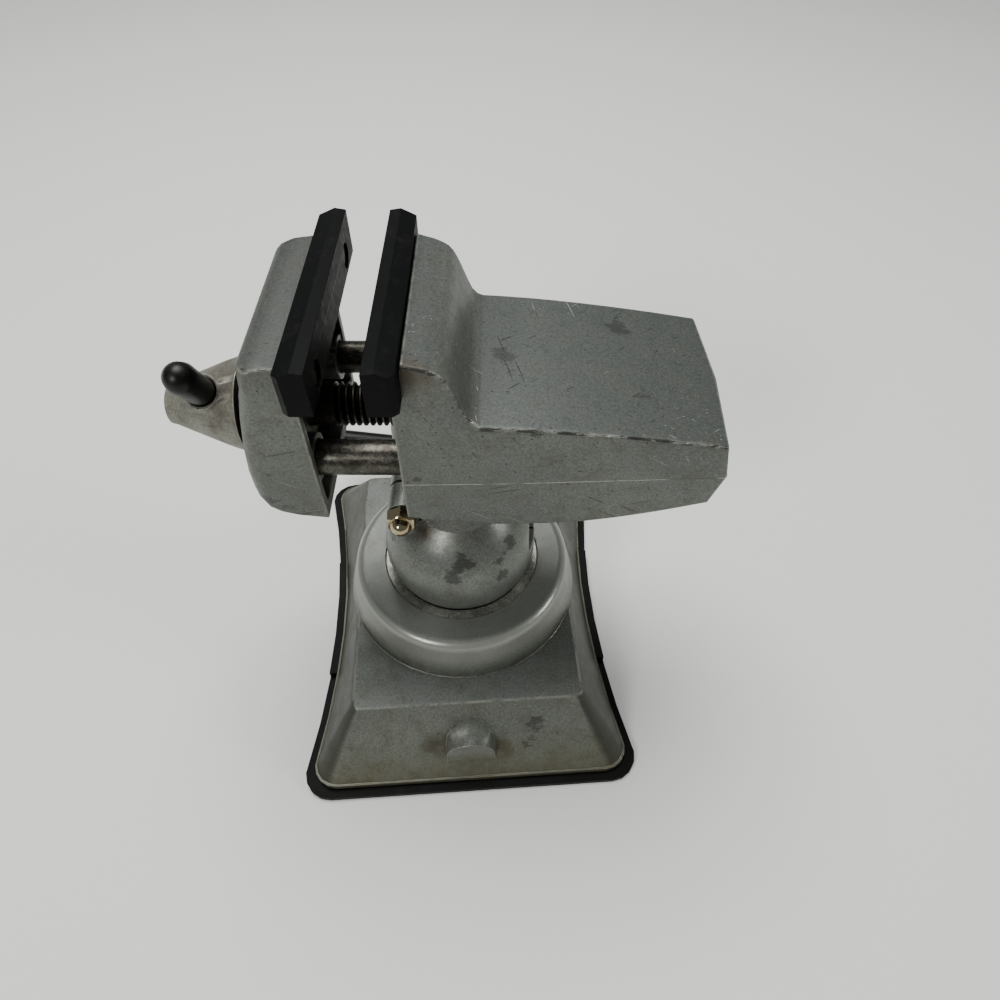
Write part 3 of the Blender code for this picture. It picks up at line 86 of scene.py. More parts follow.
for name, place, size, power in LIGHTS:
    light = bpy.data.lights.new(name, "AREA")
    light.shape = "DISK"
    light.size = size
    light.energy = power
    lamp = bpy.data.objects.new(name, light)
    bpy.context.scene.collection.objects.link(lamp)
    lamp.location = place
    way = Vector(AIM) - Vector(place)
    lamp.rotation_euler = way.to_track_quat("-Z", "Y").to_euler()

# Camera: hand-held above the front of the vise, looking steeply down, worked out from the
# photograph's straight edges and circles.
CAMERA_PLACE = (0.0132, -0.14573, 0.26218)
CAMERA_RIGHT = (1.0, 0.0001, 0.0053)
CAMERA_UP = (-0.0034, 0.784, 0.6207)
CAMERA_LENS = 24.95
CAMERA_SENSOR = 36
CAMERA_NEAR = 0.01

lens = bpy.data.cameras.new("camera")
lens.lens = CAMERA_LENS
lens.sensor_width = CAMERA_SENSOR
lens.clip_start = CAMERA_NEAR
camera = bpy.data.objects.new("camera", lens)
bpy.context.scene.collection.objects.link(camera)
right = Vector(CAMERA_RIGHT).normalized()
up = (Vector(CAMERA_UP) - right * right.dot(Vector(CAMERA_UP))).normalized()
back = right.cross(up)
turn = Matrix((right, up, back)).transposed().to_4x4()
camera.matrix_world = Matrix.Translation(CAMERA_PLACE) @ turn
bpy.context.scene.camera = camera

# Vacuum pad: one black rubber moulding, pressed between the base and the bench. Its rim shows
# all round and its lips stand up at the waist. Old rubber is matte, with grey dust in its pores,
# which are drawn coarser than real ones, so that they show.
RUBBER_PORE = 0.0006
RUBBER_DUST = 0.009
RUBBER_RELIEF = 0.00008
MERGE_REACH = 0.000002
FLAT_TURN = 0.4


def add(tree, kind, inputs=None, **settings):
    """Add one node, set its properties, and fill or link its inputs."""
    made = tree.nodes.new(kind)
    for name, value in settings.items():
        setattr(made, name, value)
    for name, value in (inputs or {}).items():
        if isinstance(value, bpy.types.NodeSocket):
            tree.links.new(value, made.inputs[name])
        else:
            made.inputs[name].default_value = value
    return made


def moulded_rubber():
    """Old moulded rubber: near black, matte, dusty in patches."""
    made, tree, shader = blank("moulded_black_rubber")
    place = add(tree, "ShaderNodeTexCoord").outputs["Object"]
    dust = add(tree, "ShaderNodeTexNoise", {
        "Vector": place, "Scale": 1 / RUBBER_DUST, "Detail": 6.0}).outputs["Fac"]
    pores = add(tree, "ShaderNodeTexNoise", {
        "Vector": place, "Scale": 1 / RUBBER_PORE, "Detail": 3.0}).outputs["Fac"]
    patch = add(tree, "ShaderNodeMapRange", {"Value": dust, "From Min": 0.5, "From Max": 0.8})
    tint = add(tree, "ShaderNodeMix", {
        0: patch.outputs[0], 6: colour("#030302"), 7: colour("#0F0F0A")}, data_type="RGBA")
    rough = add(tree, "ShaderNodeMapRange", {"Value": dust, "To Min": 0.40, "To Max": 0.65})
    bump = add(tree, "ShaderNodeBump", {
        "Strength": 0.35, "Distance": RUBBER_RELIEF, "Height": pores})
    tree.links.new(tint.outputs[2], shader.inputs["Base Color"])
    tree.links.new(rough.outputs[0], shader.inputs["Roughness"])
    tree.links.new(bump.outputs[0], shader.inputs["Normal"])
    shader.inputs["Specular IOR Level"].default_value = 0.10
    return made


def dress(node, body, surface, sharp=32, soften=0.0, press=None, even=False):
    """A smooth copy of a CAD node that stands for it, with its own surface.

    Edges sharper than sharp degrees stay crisp, or are rounded by soften. press is the X of a
    flat back and its way along X, and even keeps large faces flat in their shading.
    """
    bm = bmesh.new()
    bm.from_mesh(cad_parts[node].data)
    bmesh.ops.remove_doubles(bm, verts=bm.verts, dist=MERGE_REACH)
    bmesh.ops.dissolve_limit(
        bm, angle_limit=math.radians(FLAT_TURN), verts=bm.verts, edges=bm.edges)
    if press:
        face, reach = press
        seat = [vert for vert in bm.verts if abs(vert.co.x - face) < abs(reach)]
        bmesh.ops.translate(bm, verts=seat, vec=(reach, 0, 0))
    mesh = bpy.data.meshes.new(node + "_dressed")
    bm.to_mesh(mesh)
    bm.free()
    mesh.shade_smooth()
    mesh.set_sharp_from_angle(angle=math.radians(sharp))
    mesh.materials.append(surface)
    made = bpy.data.objects.new(node + "_dressed", mesh)
    bpy.context.scene.collection.objects.link(made)
    if soften:
        rounding = made.modifiers.new("soft_edges", "BEVEL")
        rounding.width = soften
        rounding.segments = 2
        rounding.limit_method = "ANGLE"
        rounding.angle_limit = math.radians(sharp)
    if even:
        weights = made.modifiers.new("even_normals", "WEIGHTED_NORMAL")
        weights.keep_sharp = True
    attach(made, body)
    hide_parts(node)


dress("suction_pad", "base", moulded_rubber())

# Base casting: one die casting in zinc with a satin grey finish, hollow below. Hands have rubbed
# its collar smooth, and the collar is drawn paler: a painted highlight on its shoulder and painted
# light on its land. Oil and dirt have turned its sloping sides olive brown, and their left and
# right faces are darker still, partly with painted shade.
# Grain and pits of the cast skin are drawn coarser than real ones, so that they show.
CAST_GRAIN = 0.0007
CAST_CLOUD = 0.007
CAST_DRIFT = 0.030
CAST_RELIEF = 0.00012
CAST_SPAN = 0.14
POLISHED_ROUGHNESS = 0.28
RUBBED_ROUGHNESS = 0.26
PIT_CELL = 0.0032
CREASE_REACH = 0.004
RAY_SAMPLES = 4
SMUDGE_SIZE = 0.009
SMUDGE_LEVEL = 0.635
SMUDGE_FADE = 0.050
SMUDGE_TURN = (0, math.radians(25), math.radians(-40))
SMUDGE_STRETCH = (0.7, 2.0, 1.5)
TEAR_SIZE = 0.0014
TEAR_STRETCH = (0.22, 1.0, 1.0)
SEAM_CORE = 0.00008
SEAM_HALF = 0.00022
BRINK_CORE = 0.0004
BRINK_HALF = 0.0007
SIDE_TOP = 0.034
SIDE_FULL = 0.030
SIDE_START = 0.016
SIDE_OUTER = 0.020
# Each set of scratches: its turn in degrees, run, pitch, and the share of a cell it fills.
SCRATCHES = (
    ((0, 0, 27), 0.095, 0.0022, 0.085), ((0, 0, -38), 0.055, 0.0018, 0.10),
    ((0, 0, 74), 0.080, 0.0020, 0.09), ((0, 14, 0), 0.080, 0.0020, 0.09),
    ((0, -33, 0), 0.050, 0.0016, 0.10), ((0, -62, 8), 0.045, 0.0016, 0.10))
BASE_DECK = 0.0309
# Each mark: its centre, radius and strength.
BASE_MARKS = (
    ((0.0267, -0.0575, 0.0220), 0.0062, 1.1), ((0.0250, -0.0628, 0.0170), 0.0048, 1.1),
    ((-0.0330, -0.0600, 0.0180), 0.0080, 0.5), ((-0.0360, -0.0640, 0.0110), 0.0060, 0.6),
    ((0.0330, -0.0400, 0.0309), 0.0070, 0.6), ((0.0041, -0.0377, 0.0455), 0.0042, 1.1),
    ((0.0340, -0.0192, 0.0460), 0.0040, 1.1), ((-0.0389, -0.0591, 0.0160), 0.0060, 0.9),
    ((0.0038, -0.0672, 0.0090), 0.0050, 0.8), ((0.0039, -0.0593, 0.0200), 0.0045, 0.7))
# Each oil stain: its centre, radius and colour.
BASE_STAINS = (
    ((0.0145, -0.0629, 0.0150), 0.0075, "#38311F"), ((-0.0081, -0.0615, 0.0160), 0.0065, "#3A3424"))


def scratch_mask(tree, place, turn, run, pitch, reach):
    """Straight scratches along one direction: thin slivers round scattered points, tapering out."""
    lie = add(tree, "ShaderNodeMapping", {
        "Vector": place, "Rotation": [math.radians(angle) for angle in turn]})
    drawn = add(tree, "ShaderNodeVectorMath", {
        0: lie.outputs["Vector"], 1: (1 / run, 1 / pitch, 1 / pitch)}, operation="MULTIPLY")
    points = add(tree, "ShaderNodeTexVoronoi", {"Vector": drawn.outputs[0], "Scale": 1.0})
    return add(tree, "ShaderNodeMapRange", {
        "Value": points.outputs["Distance"], "From Min": reach * 0.6, "From Max": reach,
        "To Min": 1.0, "To Max": 0.0}).outputs[0]


def place_mask(tree, place, centre, radius, strength):
    """One round place on the piece, full at its middle and gone at its radius."""
    away = add(tree, "ShaderNodeVectorMath", {0: place, 1: centre}, operation="DISTANCE")
    return add(tree, "ShaderNodeMapRange", {
        "Value": away.outputs["Value"], "From Min": radius, "From Max": radius * 0.2,
        "To Max": strength}).outputs[0]


def roll_mask(tree, part, low, high):
    """Where the surface rolls from one side into the next, told from one part of its normal."""
    square = add(tree, "ShaderNodeMath", {0: part, 1: part}, operation="MULTIPLY").outputs[0]
    rest = add(tree, "ShaderNodeMath", {0: 1.0, 1: square}, operation="SUBTRACT")
    roll = add(tree, "ShaderNodeMath", {0: square, 1: rest.outputs[0]}, operation="MULTIPLY")
    return add(tree, "ShaderNodeMapRange", {
        "Value": roll.outputs[0], "From Min": low, "From Max": high}).outputs[0]


def grey_casting(name, light, dark, stain, worn, scratches, grime=0.4, painted_top_tone=None, marks=(), warm=(),
                 low_dirt=None, sides=None, brink=None, scrape_and_glint=0.0, seam=None, polish_and_painted_light=None,
                 edge=0.0005, metal=0.35, roughness=0.40):
    """Satin grey die casting: clouded, scratched, pitted and smudged, with edges rubbed bare and
    painted shade in its creases.
    """
    made, tree, shader = blank(name)
    coordinates = add(tree, "ShaderNodeTexCoord")
    place = coordinates.outputs["Object"]
    parts = add(tree, "ShaderNodeSeparateXYZ", {"Vector": place})
    facing = add(tree, "ShaderNodeSeparateXYZ", {"Vector": coordinates.outputs["Normal"]})
    drift = add(tree, "ShaderNodeTexNoise", {
        "Vector": place, "Scale": 1 / CAST_DRIFT, "Detail": 3.0}).outputs["Fac"]
    cloud = add(tree, "ShaderNodeTexNoise", {
        "Vector": place, "Scale": 1 / CAST_CLOUD, "Detail": 7.0, "Roughness": 0.65}).outputs["Fac"]
    grain = add(tree, "ShaderNodeTexNoise", {
        "Vector": place, "Scale": 1 / CAST_GRAIN, "Detail": 4.0}).outputs["Fac"]
    mask = add(tree, "ShaderNodeMapRange", {"Value": drift, "From Min": 0.35, "From Max": 0.65})
    tint = add(tree, "ShaderNodeMix", {
        0: mask.outputs[0], 6: colour(light), 7: colour(dark)}, data_type="RGBA").outputs[2]

    # Level tops get a tone of their own, as painted light: darker where they face the dark sky,
    # lighter on a top that lies in shadow.
    if painted_top_tone:
        mask = add(tree, "ShaderNodeMapRange", {
            "Value": facing.outputs["Z"], "From Min": 0.85, "From Max": 0.98})
        tint = add(tree, "ShaderNodeMix", {
            0: mask.outputs[0], 6: tint, 7: colour(painted_top_tone)}, data_type="RGBA").outputs[2]

    # Clouds of oil stain, and the fine mottle of the cast skin.
    mask = add(tree, "ShaderNodeMapRange", {
        "Value": cloud, "From Min": 0.48, "From Max": 0.70, "To Max": grime})
    tint = add(tree, "ShaderNodeMix", {
        0: mask.outputs[0], 6: tint, 7: colour(stain)}, data_type="RGBA").outputs[2]
    speckle = add(tree, "ShaderNodeMapRange", {
        "Value": grain, "From Min": 0.3, "From Max": 0.7, "To Min": 0.70, "To Max": 1.22})
    tint = add(tree, "ShaderNodeVectorMath", {
        0: tint, "Scale": speckle.outputs[0]}, operation="SCALE").outputs[0]

    # Smudges: dark scuffs with torn rims, thicker round the places that work has hit.
    wiped = add(tree, "ShaderNodeMapping", {
        "Vector": place, "Rotation": SMUDGE_TURN, "Scale": SMUDGE_STRETCH})
    field = add(tree, "ShaderNodeTexNoise", {
        "Vector": wiped.outputs[0], "Scale": 1 / SMUDGE_SIZE, "Detail": 9.0,
        "Roughness": 0.78, "Distortion": 0.3}).outputs["Fac"]
    for centre, radius, strength in marks:
        near = place_mask(tree, place, centre, radius, strength * 0.20)
        field = add(tree, "ShaderNodeMath", {0: field, 1: near}, operation="ADD").outputs[0]
    mask = add(tree, "ShaderNodeMapRange", {
        "Value": field, "From Min": SMUDGE_LEVEL, "From Max": SMUDGE_LEVEL + SMUDGE_FADE,
        "To Max": 0.72})
    tint = add(tree, "ShaderNodeMix", {
        0: mask.outputs[0], 6: tint, 7: colour("#2B2C28")}, data_type="RGBA").outputs[2]

    # Warm film of old oil round single places.
    for centre, radius, film in warm:
        near = place_mask(tree, place, centre, radius, 0.8)
        patchy = add(tree, "ShaderNodeMapRange", {
            "Value": cloud, "From Min": 0.35, "From Max": 0.55})
        mask = add(tree, "ShaderNodeMath", {0: near, 1: patchy.outputs[0]}, operation="MULTIPLY")
        tint = add(tree, "ShaderNodeMix", {
            0: mask.outputs[0], 6: tint, 7: colour(film)}, data_type="RGBA").outputs[2]

    # Scratches: hairlines in several directions, some dark with dirt and some bright.
    scratch = scratch_mask(tree, place, *SCRATCHES[0])
    for turn, run, pitch, reach in SCRATCHES[1:]:
        line = scratch_mask(tree, place, turn, run, pitch, reach)
        scratch = add(tree, "ShaderNodeMath", {0: scratch, 1: line}, operation="MAXIMUM").outputs[0]
    scratch = add(tree, "ShaderNodeMath", {
        0: scratch, 1: scratches}, operation="MULTIPLY").outputs[0]
    bright = add(tree, "ShaderNodeMapRange", {
        "Value": drift, "From Min": 0.50, "From Max": 0.54}).outputs[0]
    bottom = add(tree, "ShaderNodeMix", {
        0: bright, 6: colour("#20211C"), 7: colour("#84867F")}, data_type="RGBA")
    tint = add(tree, "ShaderNodeMix", {
        0: scratch, 6: tint, 7: bottom.outputs[2]}, data_type="RGBA").outputs[2]

    # Pits: small dark holes in a few of many cells.
    pits = add(tree, "ShaderNodeTexVoronoi", {"Vector": place, "Scale": 1 / PIT_CELL})
    hole = add(tree, "ShaderNodeMapRange", {
        "Value": pits.outputs["Distance"], "From Min": 0.05, "From Max": 0.11,
        "To Min": 1.0, "To Max": 0.0})
    chance = add(tree, "ShaderNodeSeparateColor", {"Color": pits.outputs["Color"]})
    chosen = add(tree, "ShaderNodeMath", {
        0: chance.outputs["Red"], 1: 0.70}, operation="GREATER_THAN")
    pit = add(tree, "ShaderNodeMath", {
        0: hole.outputs[0], 1: chosen.outputs[0]}, operation="MULTIPLY").outputs[0]
    tint = add(tree, "ShaderNodeMix", {
        0: pit, 6: tint, 7: colour("#22221E")}, data_type="RGBA").outputs[2]

    # Dirt low down, where cloths don't reach.
    if low_dirt:
        high, deep, film, share = low_dirt
        depth = add(tree, "ShaderNodeMapRange", {
            "Value": parts.outputs["Z"], "From Min": high, "From Max": deep, "To Max": share})
        patchy = add(tree, "ShaderNodeMapRange", {
            "Value": cloud, "From Min": 0.3, "From Max": 0.6, "To Min": 0.45})
        mask = add(tree, "ShaderNodeMath", {
            0: depth.outputs[0], 1: patchy.outputs[0]}, operation="MULTIPLY")
        tint = add(tree, "ShaderNodeMix", {
            0: mask.outputs[0], 6: tint, 7: colour(film)}, data_type="RGBA").outputs[2]

    # The foot's left and right faces are drawn darker: olive dirt, and painted shade on the faces
    # turned to left and right.
    if sides:
        across = add(tree, "ShaderNodeMath", {0: facing.outputs["X"]}, operation="ABSOLUTE")
        across = add(tree, "ShaderNodeMapRange", {
            "Value": across.outputs[0], "From Min": 0.12, "From Max": 0.35, "To Max": 0.80})
        below = add(tree, "ShaderNodeMapRange", {
            "Value": parts.outputs["Z"], "From Min": SIDE_TOP, "From Max": SIDE_FULL})
        outer = add(tree, "ShaderNodeMath", {0: parts.outputs["X"]}, operation="ABSOLUTE")
        outer = add(tree, "ShaderNodeMapRange", {
            "Value": outer.outputs[0], "From Min": SIDE_START, "From Max": SIDE_OUTER})
        mask = add(tree, "ShaderNodeMath", {
            0: outer.outputs[0], 1: below.outputs[0]}, operation="MULTIPLY")
        mask = add(tree, "ShaderNodeMath", {
            0: across.outputs[0], 1: mask.outputs[0]}, operation="MULTIPLY")
        tint = add(tree, "ShaderNodeMix", {
            0: mask.outputs[0], 6: tint, 7: colour(sides)}, data_type="RGBA").outputs[2]

    # Creases are darkened through an occlusion mask: painted shade, along with the dirt they hold.
    # Edges are rubbed to bare metal.
    crease_shade_and_dirt = add(tree, "ShaderNodeAmbientOcclusion", {
        "Distance": CREASE_REACH}, samples=RAY_SAMPLES)
    mask = add(tree, "ShaderNodeMapRange", {
        "Value": crease_shade_and_dirt.outputs["AO"], "From Min": 0.30, "From Max": 0.80,
        "To Min": 0.8, "To Max": 0.0})
    tint = add(tree, "ShaderNodeMix", {
        0: mask.outputs[0], 6: tint, 7: colour("#211F19")}, data_type="RGBA").outputs[2]
    rounded = add(tree, "ShaderNodeBevel", {"Radius": edge}, samples=RAY_SAMPLES).outputs[0]
    plain = add(tree, "ShaderNodeNewGeometry").outputs["Normal"]
    agreement = add(tree, "ShaderNodeVectorMath", {0: rounded, 1: plain}, operation="DOT_PRODUCT")
    rim = add(tree, "ShaderNodeMapRange", {
        "Value": agreement.outputs["Value"], "From Min": 0.992, "From Max": 0.93})
    patchy = add(tree, "ShaderNodeMapRange", {"Value": cloud, "From Min": 0.38, "From Max": 0.58})
    rubbed = add(tree, "ShaderNodeMath", {
        0: rim.outputs[0], 1: patchy.outputs[0]}, operation="MULTIPLY").outputs[0]
    tint = add(tree, "ShaderNodeMix", {
        0: rubbed, 6: tint, 7: colour(worn)}, data_type="RGBA").outputs[2]

    # The brink of a level top is rubbed to a fine pale line.
    if brink:
        rise = add(tree, "ShaderNodeMath", {
            0: parts.outputs["Z"], 1: brink}, operation="SUBTRACT")
        rise = add(tree, "ShaderNodeMath", {0: rise.outputs[0]}, operation="ABSOLUTE")
        level = add(tree, "ShaderNodeMapRange", {
            "Value": rise.outputs[0], "From Min": BRINK_HALF, "From Max": BRINK_CORE})
        turned = add(tree, "ShaderNodeMapRange", {
            "Value": facing.outputs["Z"], "From Min": 0.985, "From Max": 0.965})
        line = add(tree, "ShaderNodeMath", {
            0: level.outputs[0], 1: turned.outputs[0]}, operation="MULTIPLY")
        patchy = add(tree, "ShaderNodeMapRange", {
            "Value": cloud, "From Min": 0.40, "From Max": 0.56, "To Min": 0.04, "To Max": 0.34})
        mask = add(tree, "ShaderNodeMath", {
            0: line.outputs[0], 1: patchy.outputs[0]}, operation="MULTIPLY")
        tint = add(tree, "ShaderNodeMix", {
            0: mask.outputs[0], 6: tint, 7: colour(worn)}, data_type="RGBA").outputs[2]

    # A scraped edge where the sides roll into the top: a pale line, dark torn lines and bright
    # sparks. The dark lines are scraped metal; the pale line and the sparks are scraped metal drawn
    # partly as a painted highlight on the roll.
    if scrape_and_glint:
        upper = add(tree, "ShaderNodeMapRange", {
            "Value": facing.outputs["Z"], "From Min": 0.1, "From Max": 0.4})
        roll = add(tree, "ShaderNodeMath", {
            0: roll_mask(tree, facing.outputs["Y"], 0.05, 0.17), 1: upper.outputs[0]},
            operation="MULTIPLY").outputs[0]
        patchy = add(tree, "ShaderNodeMapRange", {
            "Value": cloud, "From Min": 0.35, "From Max": 0.60, "To Min": 0.05, "To Max": 0.45})
        mask = add(tree, "ShaderNodeMath", {0: roll, 1: patchy.outputs[0]}, operation="MULTIPLY")
        tint = add(tree, "ShaderNodeMix", {
            0: mask.outputs[0], 6: tint, 7: colour(worn)}, data_type="RGBA").outputs[2]
        drawn = add(tree, "ShaderNodeVectorMath", {0: place, 1: TEAR_STRETCH}, operation="MULTIPLY")
        torn = add(tree, "ShaderNodeTexNoise", {
            "Vector": drawn.outputs[0], "Scale": 1 / TEAR_SIZE, "Detail": 5.0, "Roughness": 0.7})
        for low, high, code in ((0.48, 0.52, "#171713"), (0.37, 0.33, "#D0D0C6")):
            bite = add(tree, "ShaderNodeMapRange", {
                "Value": torn.outputs["Fac"], "From Min": low, "From Max": high, "To Max": scrape_and_glint})
            mask = add(tree, "ShaderNodeMath", {0: bite.outputs[0], 1: roll}, operation="MULTIPLY")
            tint = add(tree, "ShaderNodeMix", {
                0: mask.outputs[0], 6: tint, 7: colour(code)}, data_type="RGBA").outputs[2]

    # Parting line of the die, a fine broken ridge along the sides.
    ridge = None
    if seam:
        start, slope = seam
        path = add(tree, "ShaderNodeMath", {
            0: parts.outputs["X"], 1: slope, 2: start}, operation="MULTIPLY_ADD")
        gap = add(tree, "ShaderNodeMath", {
            0: parts.outputs["Z"], 1: path.outputs[0]}, operation="SUBTRACT")
        gap = add(tree, "ShaderNodeMath", {0: gap.outputs[0]}, operation="ABSOLUTE")
        line = add(tree, "ShaderNodeMapRange", {
            "Value": gap.outputs[0], "From Min": SEAM_CORE, "From Max": SEAM_HALF,
            "To Min": 1.0, "To Max": 0.0})
        broken = add(tree, "ShaderNodeMapRange", {
            "Value": cloud, "From Min": 0.36, "From Max": 0.50, "To Min": 0.15})
        ridge = add(tree, "ShaderNodeMath", {
            0: line.outputs[0], 1: broken.outputs[0]}, operation="MULTIPLY").outputs[0]
        crest = add(tree, "ShaderNodeMix", {
            0: bright, 6: colour("#A2A39B"), 7: colour("#4A4A44")}, data_type="RGBA")
        tint = add(tree, "ShaderNodeMix", {
            0: ridge, 6: tint, 7: crest.outputs[2]}, data_type="RGBA").outputs[2]

    # Gloss: cloudy on the skin, smoother where hands and work have polished it.
    rough = add(tree, "ShaderNodeMapRange", {
        "Value": cloud, "From Min": 0.3, "From Max": 0.7,
        "To Min": roughness, "To Max": roughness + CAST_SPAN}).outputs[0]
    # Rolls high on the piece are smoother where hands have rubbed them, and drawn paler: a painted
    # highlight on the rolls, and painted light on the flats above them.
    if polish_and_painted_light:
        low, high, code, flats = polish_and_painted_light
        spread = add(tree, "ShaderNodeMapRange", {
            "Value": roll_mask(tree, facing.outputs["Z"], 0.04, 0.2), "To Min": flats})
        above = add(tree, "ShaderNodeMapRange", {
            "Value": parts.outputs["Z"], "From Min": low, "From Max": high})
        mask = add(tree, "ShaderNodeMath", {
            0: above.outputs[0], 1: spread.outputs[0]}, operation="MULTIPLY").outputs[0]
        tint = add(tree, "ShaderNodeMix", {
            0: mask, 6: tint, 7: colour(code)}, data_type="RGBA").outputs[2]
        rough = add(tree, "ShaderNodeMix", {0: mask, 2: rough, 3: POLISHED_ROUGHNESS}).outputs[0]
    rough = add(tree, "ShaderNodeMix", {0: rubbed, 2: rough, 3: RUBBED_ROUGHNESS}).outputs[0]

    # Relief: cast grain, a slow unevenness, and the depth of scratches and pits.
    height = add(tree, "ShaderNodeMath", {0: grain, 1: 0.12}, operation="MULTIPLY")
    height = add(tree, "ShaderNodeMath", {
        0: cloud, 1: 0.40, 2: height.outputs[0]}, operation="MULTIPLY_ADD").outputs[0]
    for depth in (scratch, pit):
        height = add(tree, "ShaderNodeMath", {0: height, 1: depth}, operation="SUBTRACT").outputs[0]
    if ridge:
        height = add(tree, "ShaderNodeMath", {0: height, 1: ridge}, operation="ADD").outputs[0]
    bump = add(tree, "ShaderNodeBump", {
        "Strength": 0.6, "Distance": CAST_RELIEF, "Height": height, "Normal": rounded})
    tree.links.new(tint, shader.inputs["Base Color"])
    tree.links.new(rough, shader.inputs["Roughness"])
    tree.links.new(bump.outputs[0], shader.inputs["Normal"])
    shader.inputs["Metallic"].default_value = metal
    return made


# Its level tops are drawn darker than its sides: painted shade.
base_metal = grey_casting(
    "base_satin_grey_die_casting", "#666961", "#5A5D56", "#454130", "#A3A398", scratches=0.55,
    painted_top_tone="#565A55", marks=BASE_MARKS, warm=BASE_STAINS, low_dirt=(0.020, 0.004, "#4A452C", 0.80),
    sides="#24231B", brink=BASE_DECK, polish_and_painted_light=(0.034, 0.039, "#8E9089", 0.35), edge=0.0004)
dress("base_casting", "base", base_metal, sharp=24, even=True)

# Vacuum works: the lift plate, yoke, cam, shaft and lever, stamped and turned in steel. They work
# inside the base, seen only from below and behind, with a film of old oil. The grain that the
# tools left is drawn coarser than a real one, so that it shows.
STEEL_BLOOM = 0.006
STEEL_GRAIN = 0.0008
STEEL_RELIEF = 0.00006
STEEL_SPAN = 0.25
RUST_ROUGHNESS = 0.75


def oiled_steel(name, light, dark, rust, roughness=0.30, rust_level=0.60):
    """Turned steel under old oil: dark, mottled, browned in patches."""
    made, tree, shader = blank(name)
    place = add(tree, "ShaderNodeTexCoord").outputs["Object"]
    bloom = add(tree, "ShaderNodeTexNoise", {
        "Vector": place, "Scale": 1 / STEEL_BLOOM, "Detail": 8.0, "Roughness": 0.72}).outputs["Fac"]
    fine = add(tree, "ShaderNodeTexNoise", {
        "Vector": place, "Scale": 1 / STEEL_GRAIN, "Detail": 5.0, "Roughness": 0.7}).outputs["Fac"]
    mask = add(tree, "ShaderNodeMapRange", {"Value": bloom, "From Min": 0.42, "From Max": 0.58})
    tint = add(tree, "ShaderNodeMix", {
        0: mask.outputs[0], 6: colour(light), 7: colour(dark)}, data_type="RGBA").outputs[2]
    sparkle = add(tree, "ShaderNodeMapRange", {
        "Value": fine, "From Min": 0.35, "From Max": 0.65, "To Min": 0.65, "To Max": 1.3})
    tint = add(tree, "ShaderNodeVectorMath", {
        0: tint, "Scale": sparkle.outputs[0]}, operation="SCALE").outputs[0]
    red = add(tree, "ShaderNodeMapRange", {
        "Value": bloom, "From Min": rust_level, "From Max": rust_level + 0.08, "To Max": 0.6})
    specks = add(tree, "ShaderNodeMapRange", {"Value": fine, "From Min": 0.4, "From Max": 0.6})
    rusty = add(tree, "ShaderNodeMath", {
        0: red.outputs[0], 1: specks.outputs[0]}, operation="MULTIPLY").outputs[0]
    tint = add(tree, "ShaderNodeMix", {
        0: rusty, 6: tint, 7: colour(rust)}, data_type="RGBA").outputs[2]
    rough = add(tree, "ShaderNodeMapRange", {
        "Value": fine, "From Min": 0.3, "From Max": 0.7,
        "To Min": roughness, "To Max": roughness + STEEL_SPAN}).outputs[0]
    rough = add(tree, "ShaderNodeMix", {0: rusty, 2: rough, 3: RUST_ROUGHNESS})
    bump = add(tree, "ShaderNodeBump", {"Strength": 0.5, "Distance": STEEL_RELIEF, "Height": fine})
    tree.links.new(tint, shader.inputs["Base Color"])
    tree.links.new(rough.outputs[0], shader.inputs["Roughness"])
    tree.links.new(bump.outputs[0], shader.inputs["Normal"])
    shader.inputs["Metallic"].default_value = 0.9
    return made


dark_steel = oiled_steel("oiled_turned_steel", "#6B6860", "#3B3833", "#3F2A18")
for node in ("pad_plate", "pad_yoke"):
    dress(node, "plunger", dark_steel)
for node in ("cam_shaft", "lift_cam", "cam_pin", "shaft_clip", "lever_pin", "lever_arm"):
    dress(node, "cam", dark_steel)

# Lever grip: a glossy black phenolic moulding, pressed on the tang of the lever. Hands have left
# its gloss finely scuffed, with dust in its pores, which are drawn coarser than real ones, so
# that they show.
SCUFF_SIZE = 0.0035
MOULD_PORE = 0.0006
MOULD_RELIEF = 0.00008


def black_moulding(name, base, scuffed, roughness, span, shine):
    """Moulded black plastic with a worn gloss: faint dust and fine scuffs."""
    made, tree, shader = blank(name)
    place = add(tree, "ShaderNodeTexCoord").outputs["Object"]
    scuff = add(tree, "ShaderNodeTexNoise", {
        "Vector": place, "Scale": 1 / SCUFF_SIZE, "Detail": 8.0, "Roughness": 0.72}).outputs["Fac"]
    pores = add(tree, "ShaderNodeTexNoise", {
        "Vector": place, "Scale": 1 / MOULD_PORE, "Detail": 3.0}).outputs["Fac"]
    patch = add(tree, "ShaderNodeMapRange", {"Value": scuff, "From Min": 0.54, "From Max": 0.74})
    tint = add(tree, "ShaderNodeMix", {
        0: patch.outputs[0], 6: colour(base), 7: colour(scuffed)}, data_type="RGBA")
    rough = add(tree, "ShaderNodeMapRange", {
        "Value": scuff, "From Min": 0.3, "From Max": 0.7,
        "To Min": roughness, "To Max": roughness + span})
    height = add(tree, "ShaderNodeMath", {0: pores, 1: 0.2, 2: scuff}, operation="MULTIPLY_ADD")
    bump = add(tree, "ShaderNodeBump", {
        "Strength": 0.3, "Distance": MOULD_RELIEF, "Height": height.outputs[0]})
    tree.links.new(tint.outputs[2], shader.inputs["Base Color"])
    tree.links.new(rough.outputs[0], shader.inputs["Roughness"])
    tree.links.new(bump.outputs[0], shader.inputs["Normal"])
    shader.inputs["Specular IOR Level"].default_value = shine
    return made


glossy_black = black_moulding(
    "glossy_black_phenolic", "#040403", "#151511", roughness=0.26, span=0.24, shine=0.26)
dress("lever_grip", "cam", glossy_black)

# Seat ring: a turned steel ring let into the collar, on which the ball bears. The ball has
# polished it to a pale band.
ring_steel = oiled_steel(
    "polished_seat_steel", "#B4B4AC", "#8E8E86", "#5B4A34", roughness=0.28, rust_level=0.68)
dress("seat_ring", "seat", ring_steel)
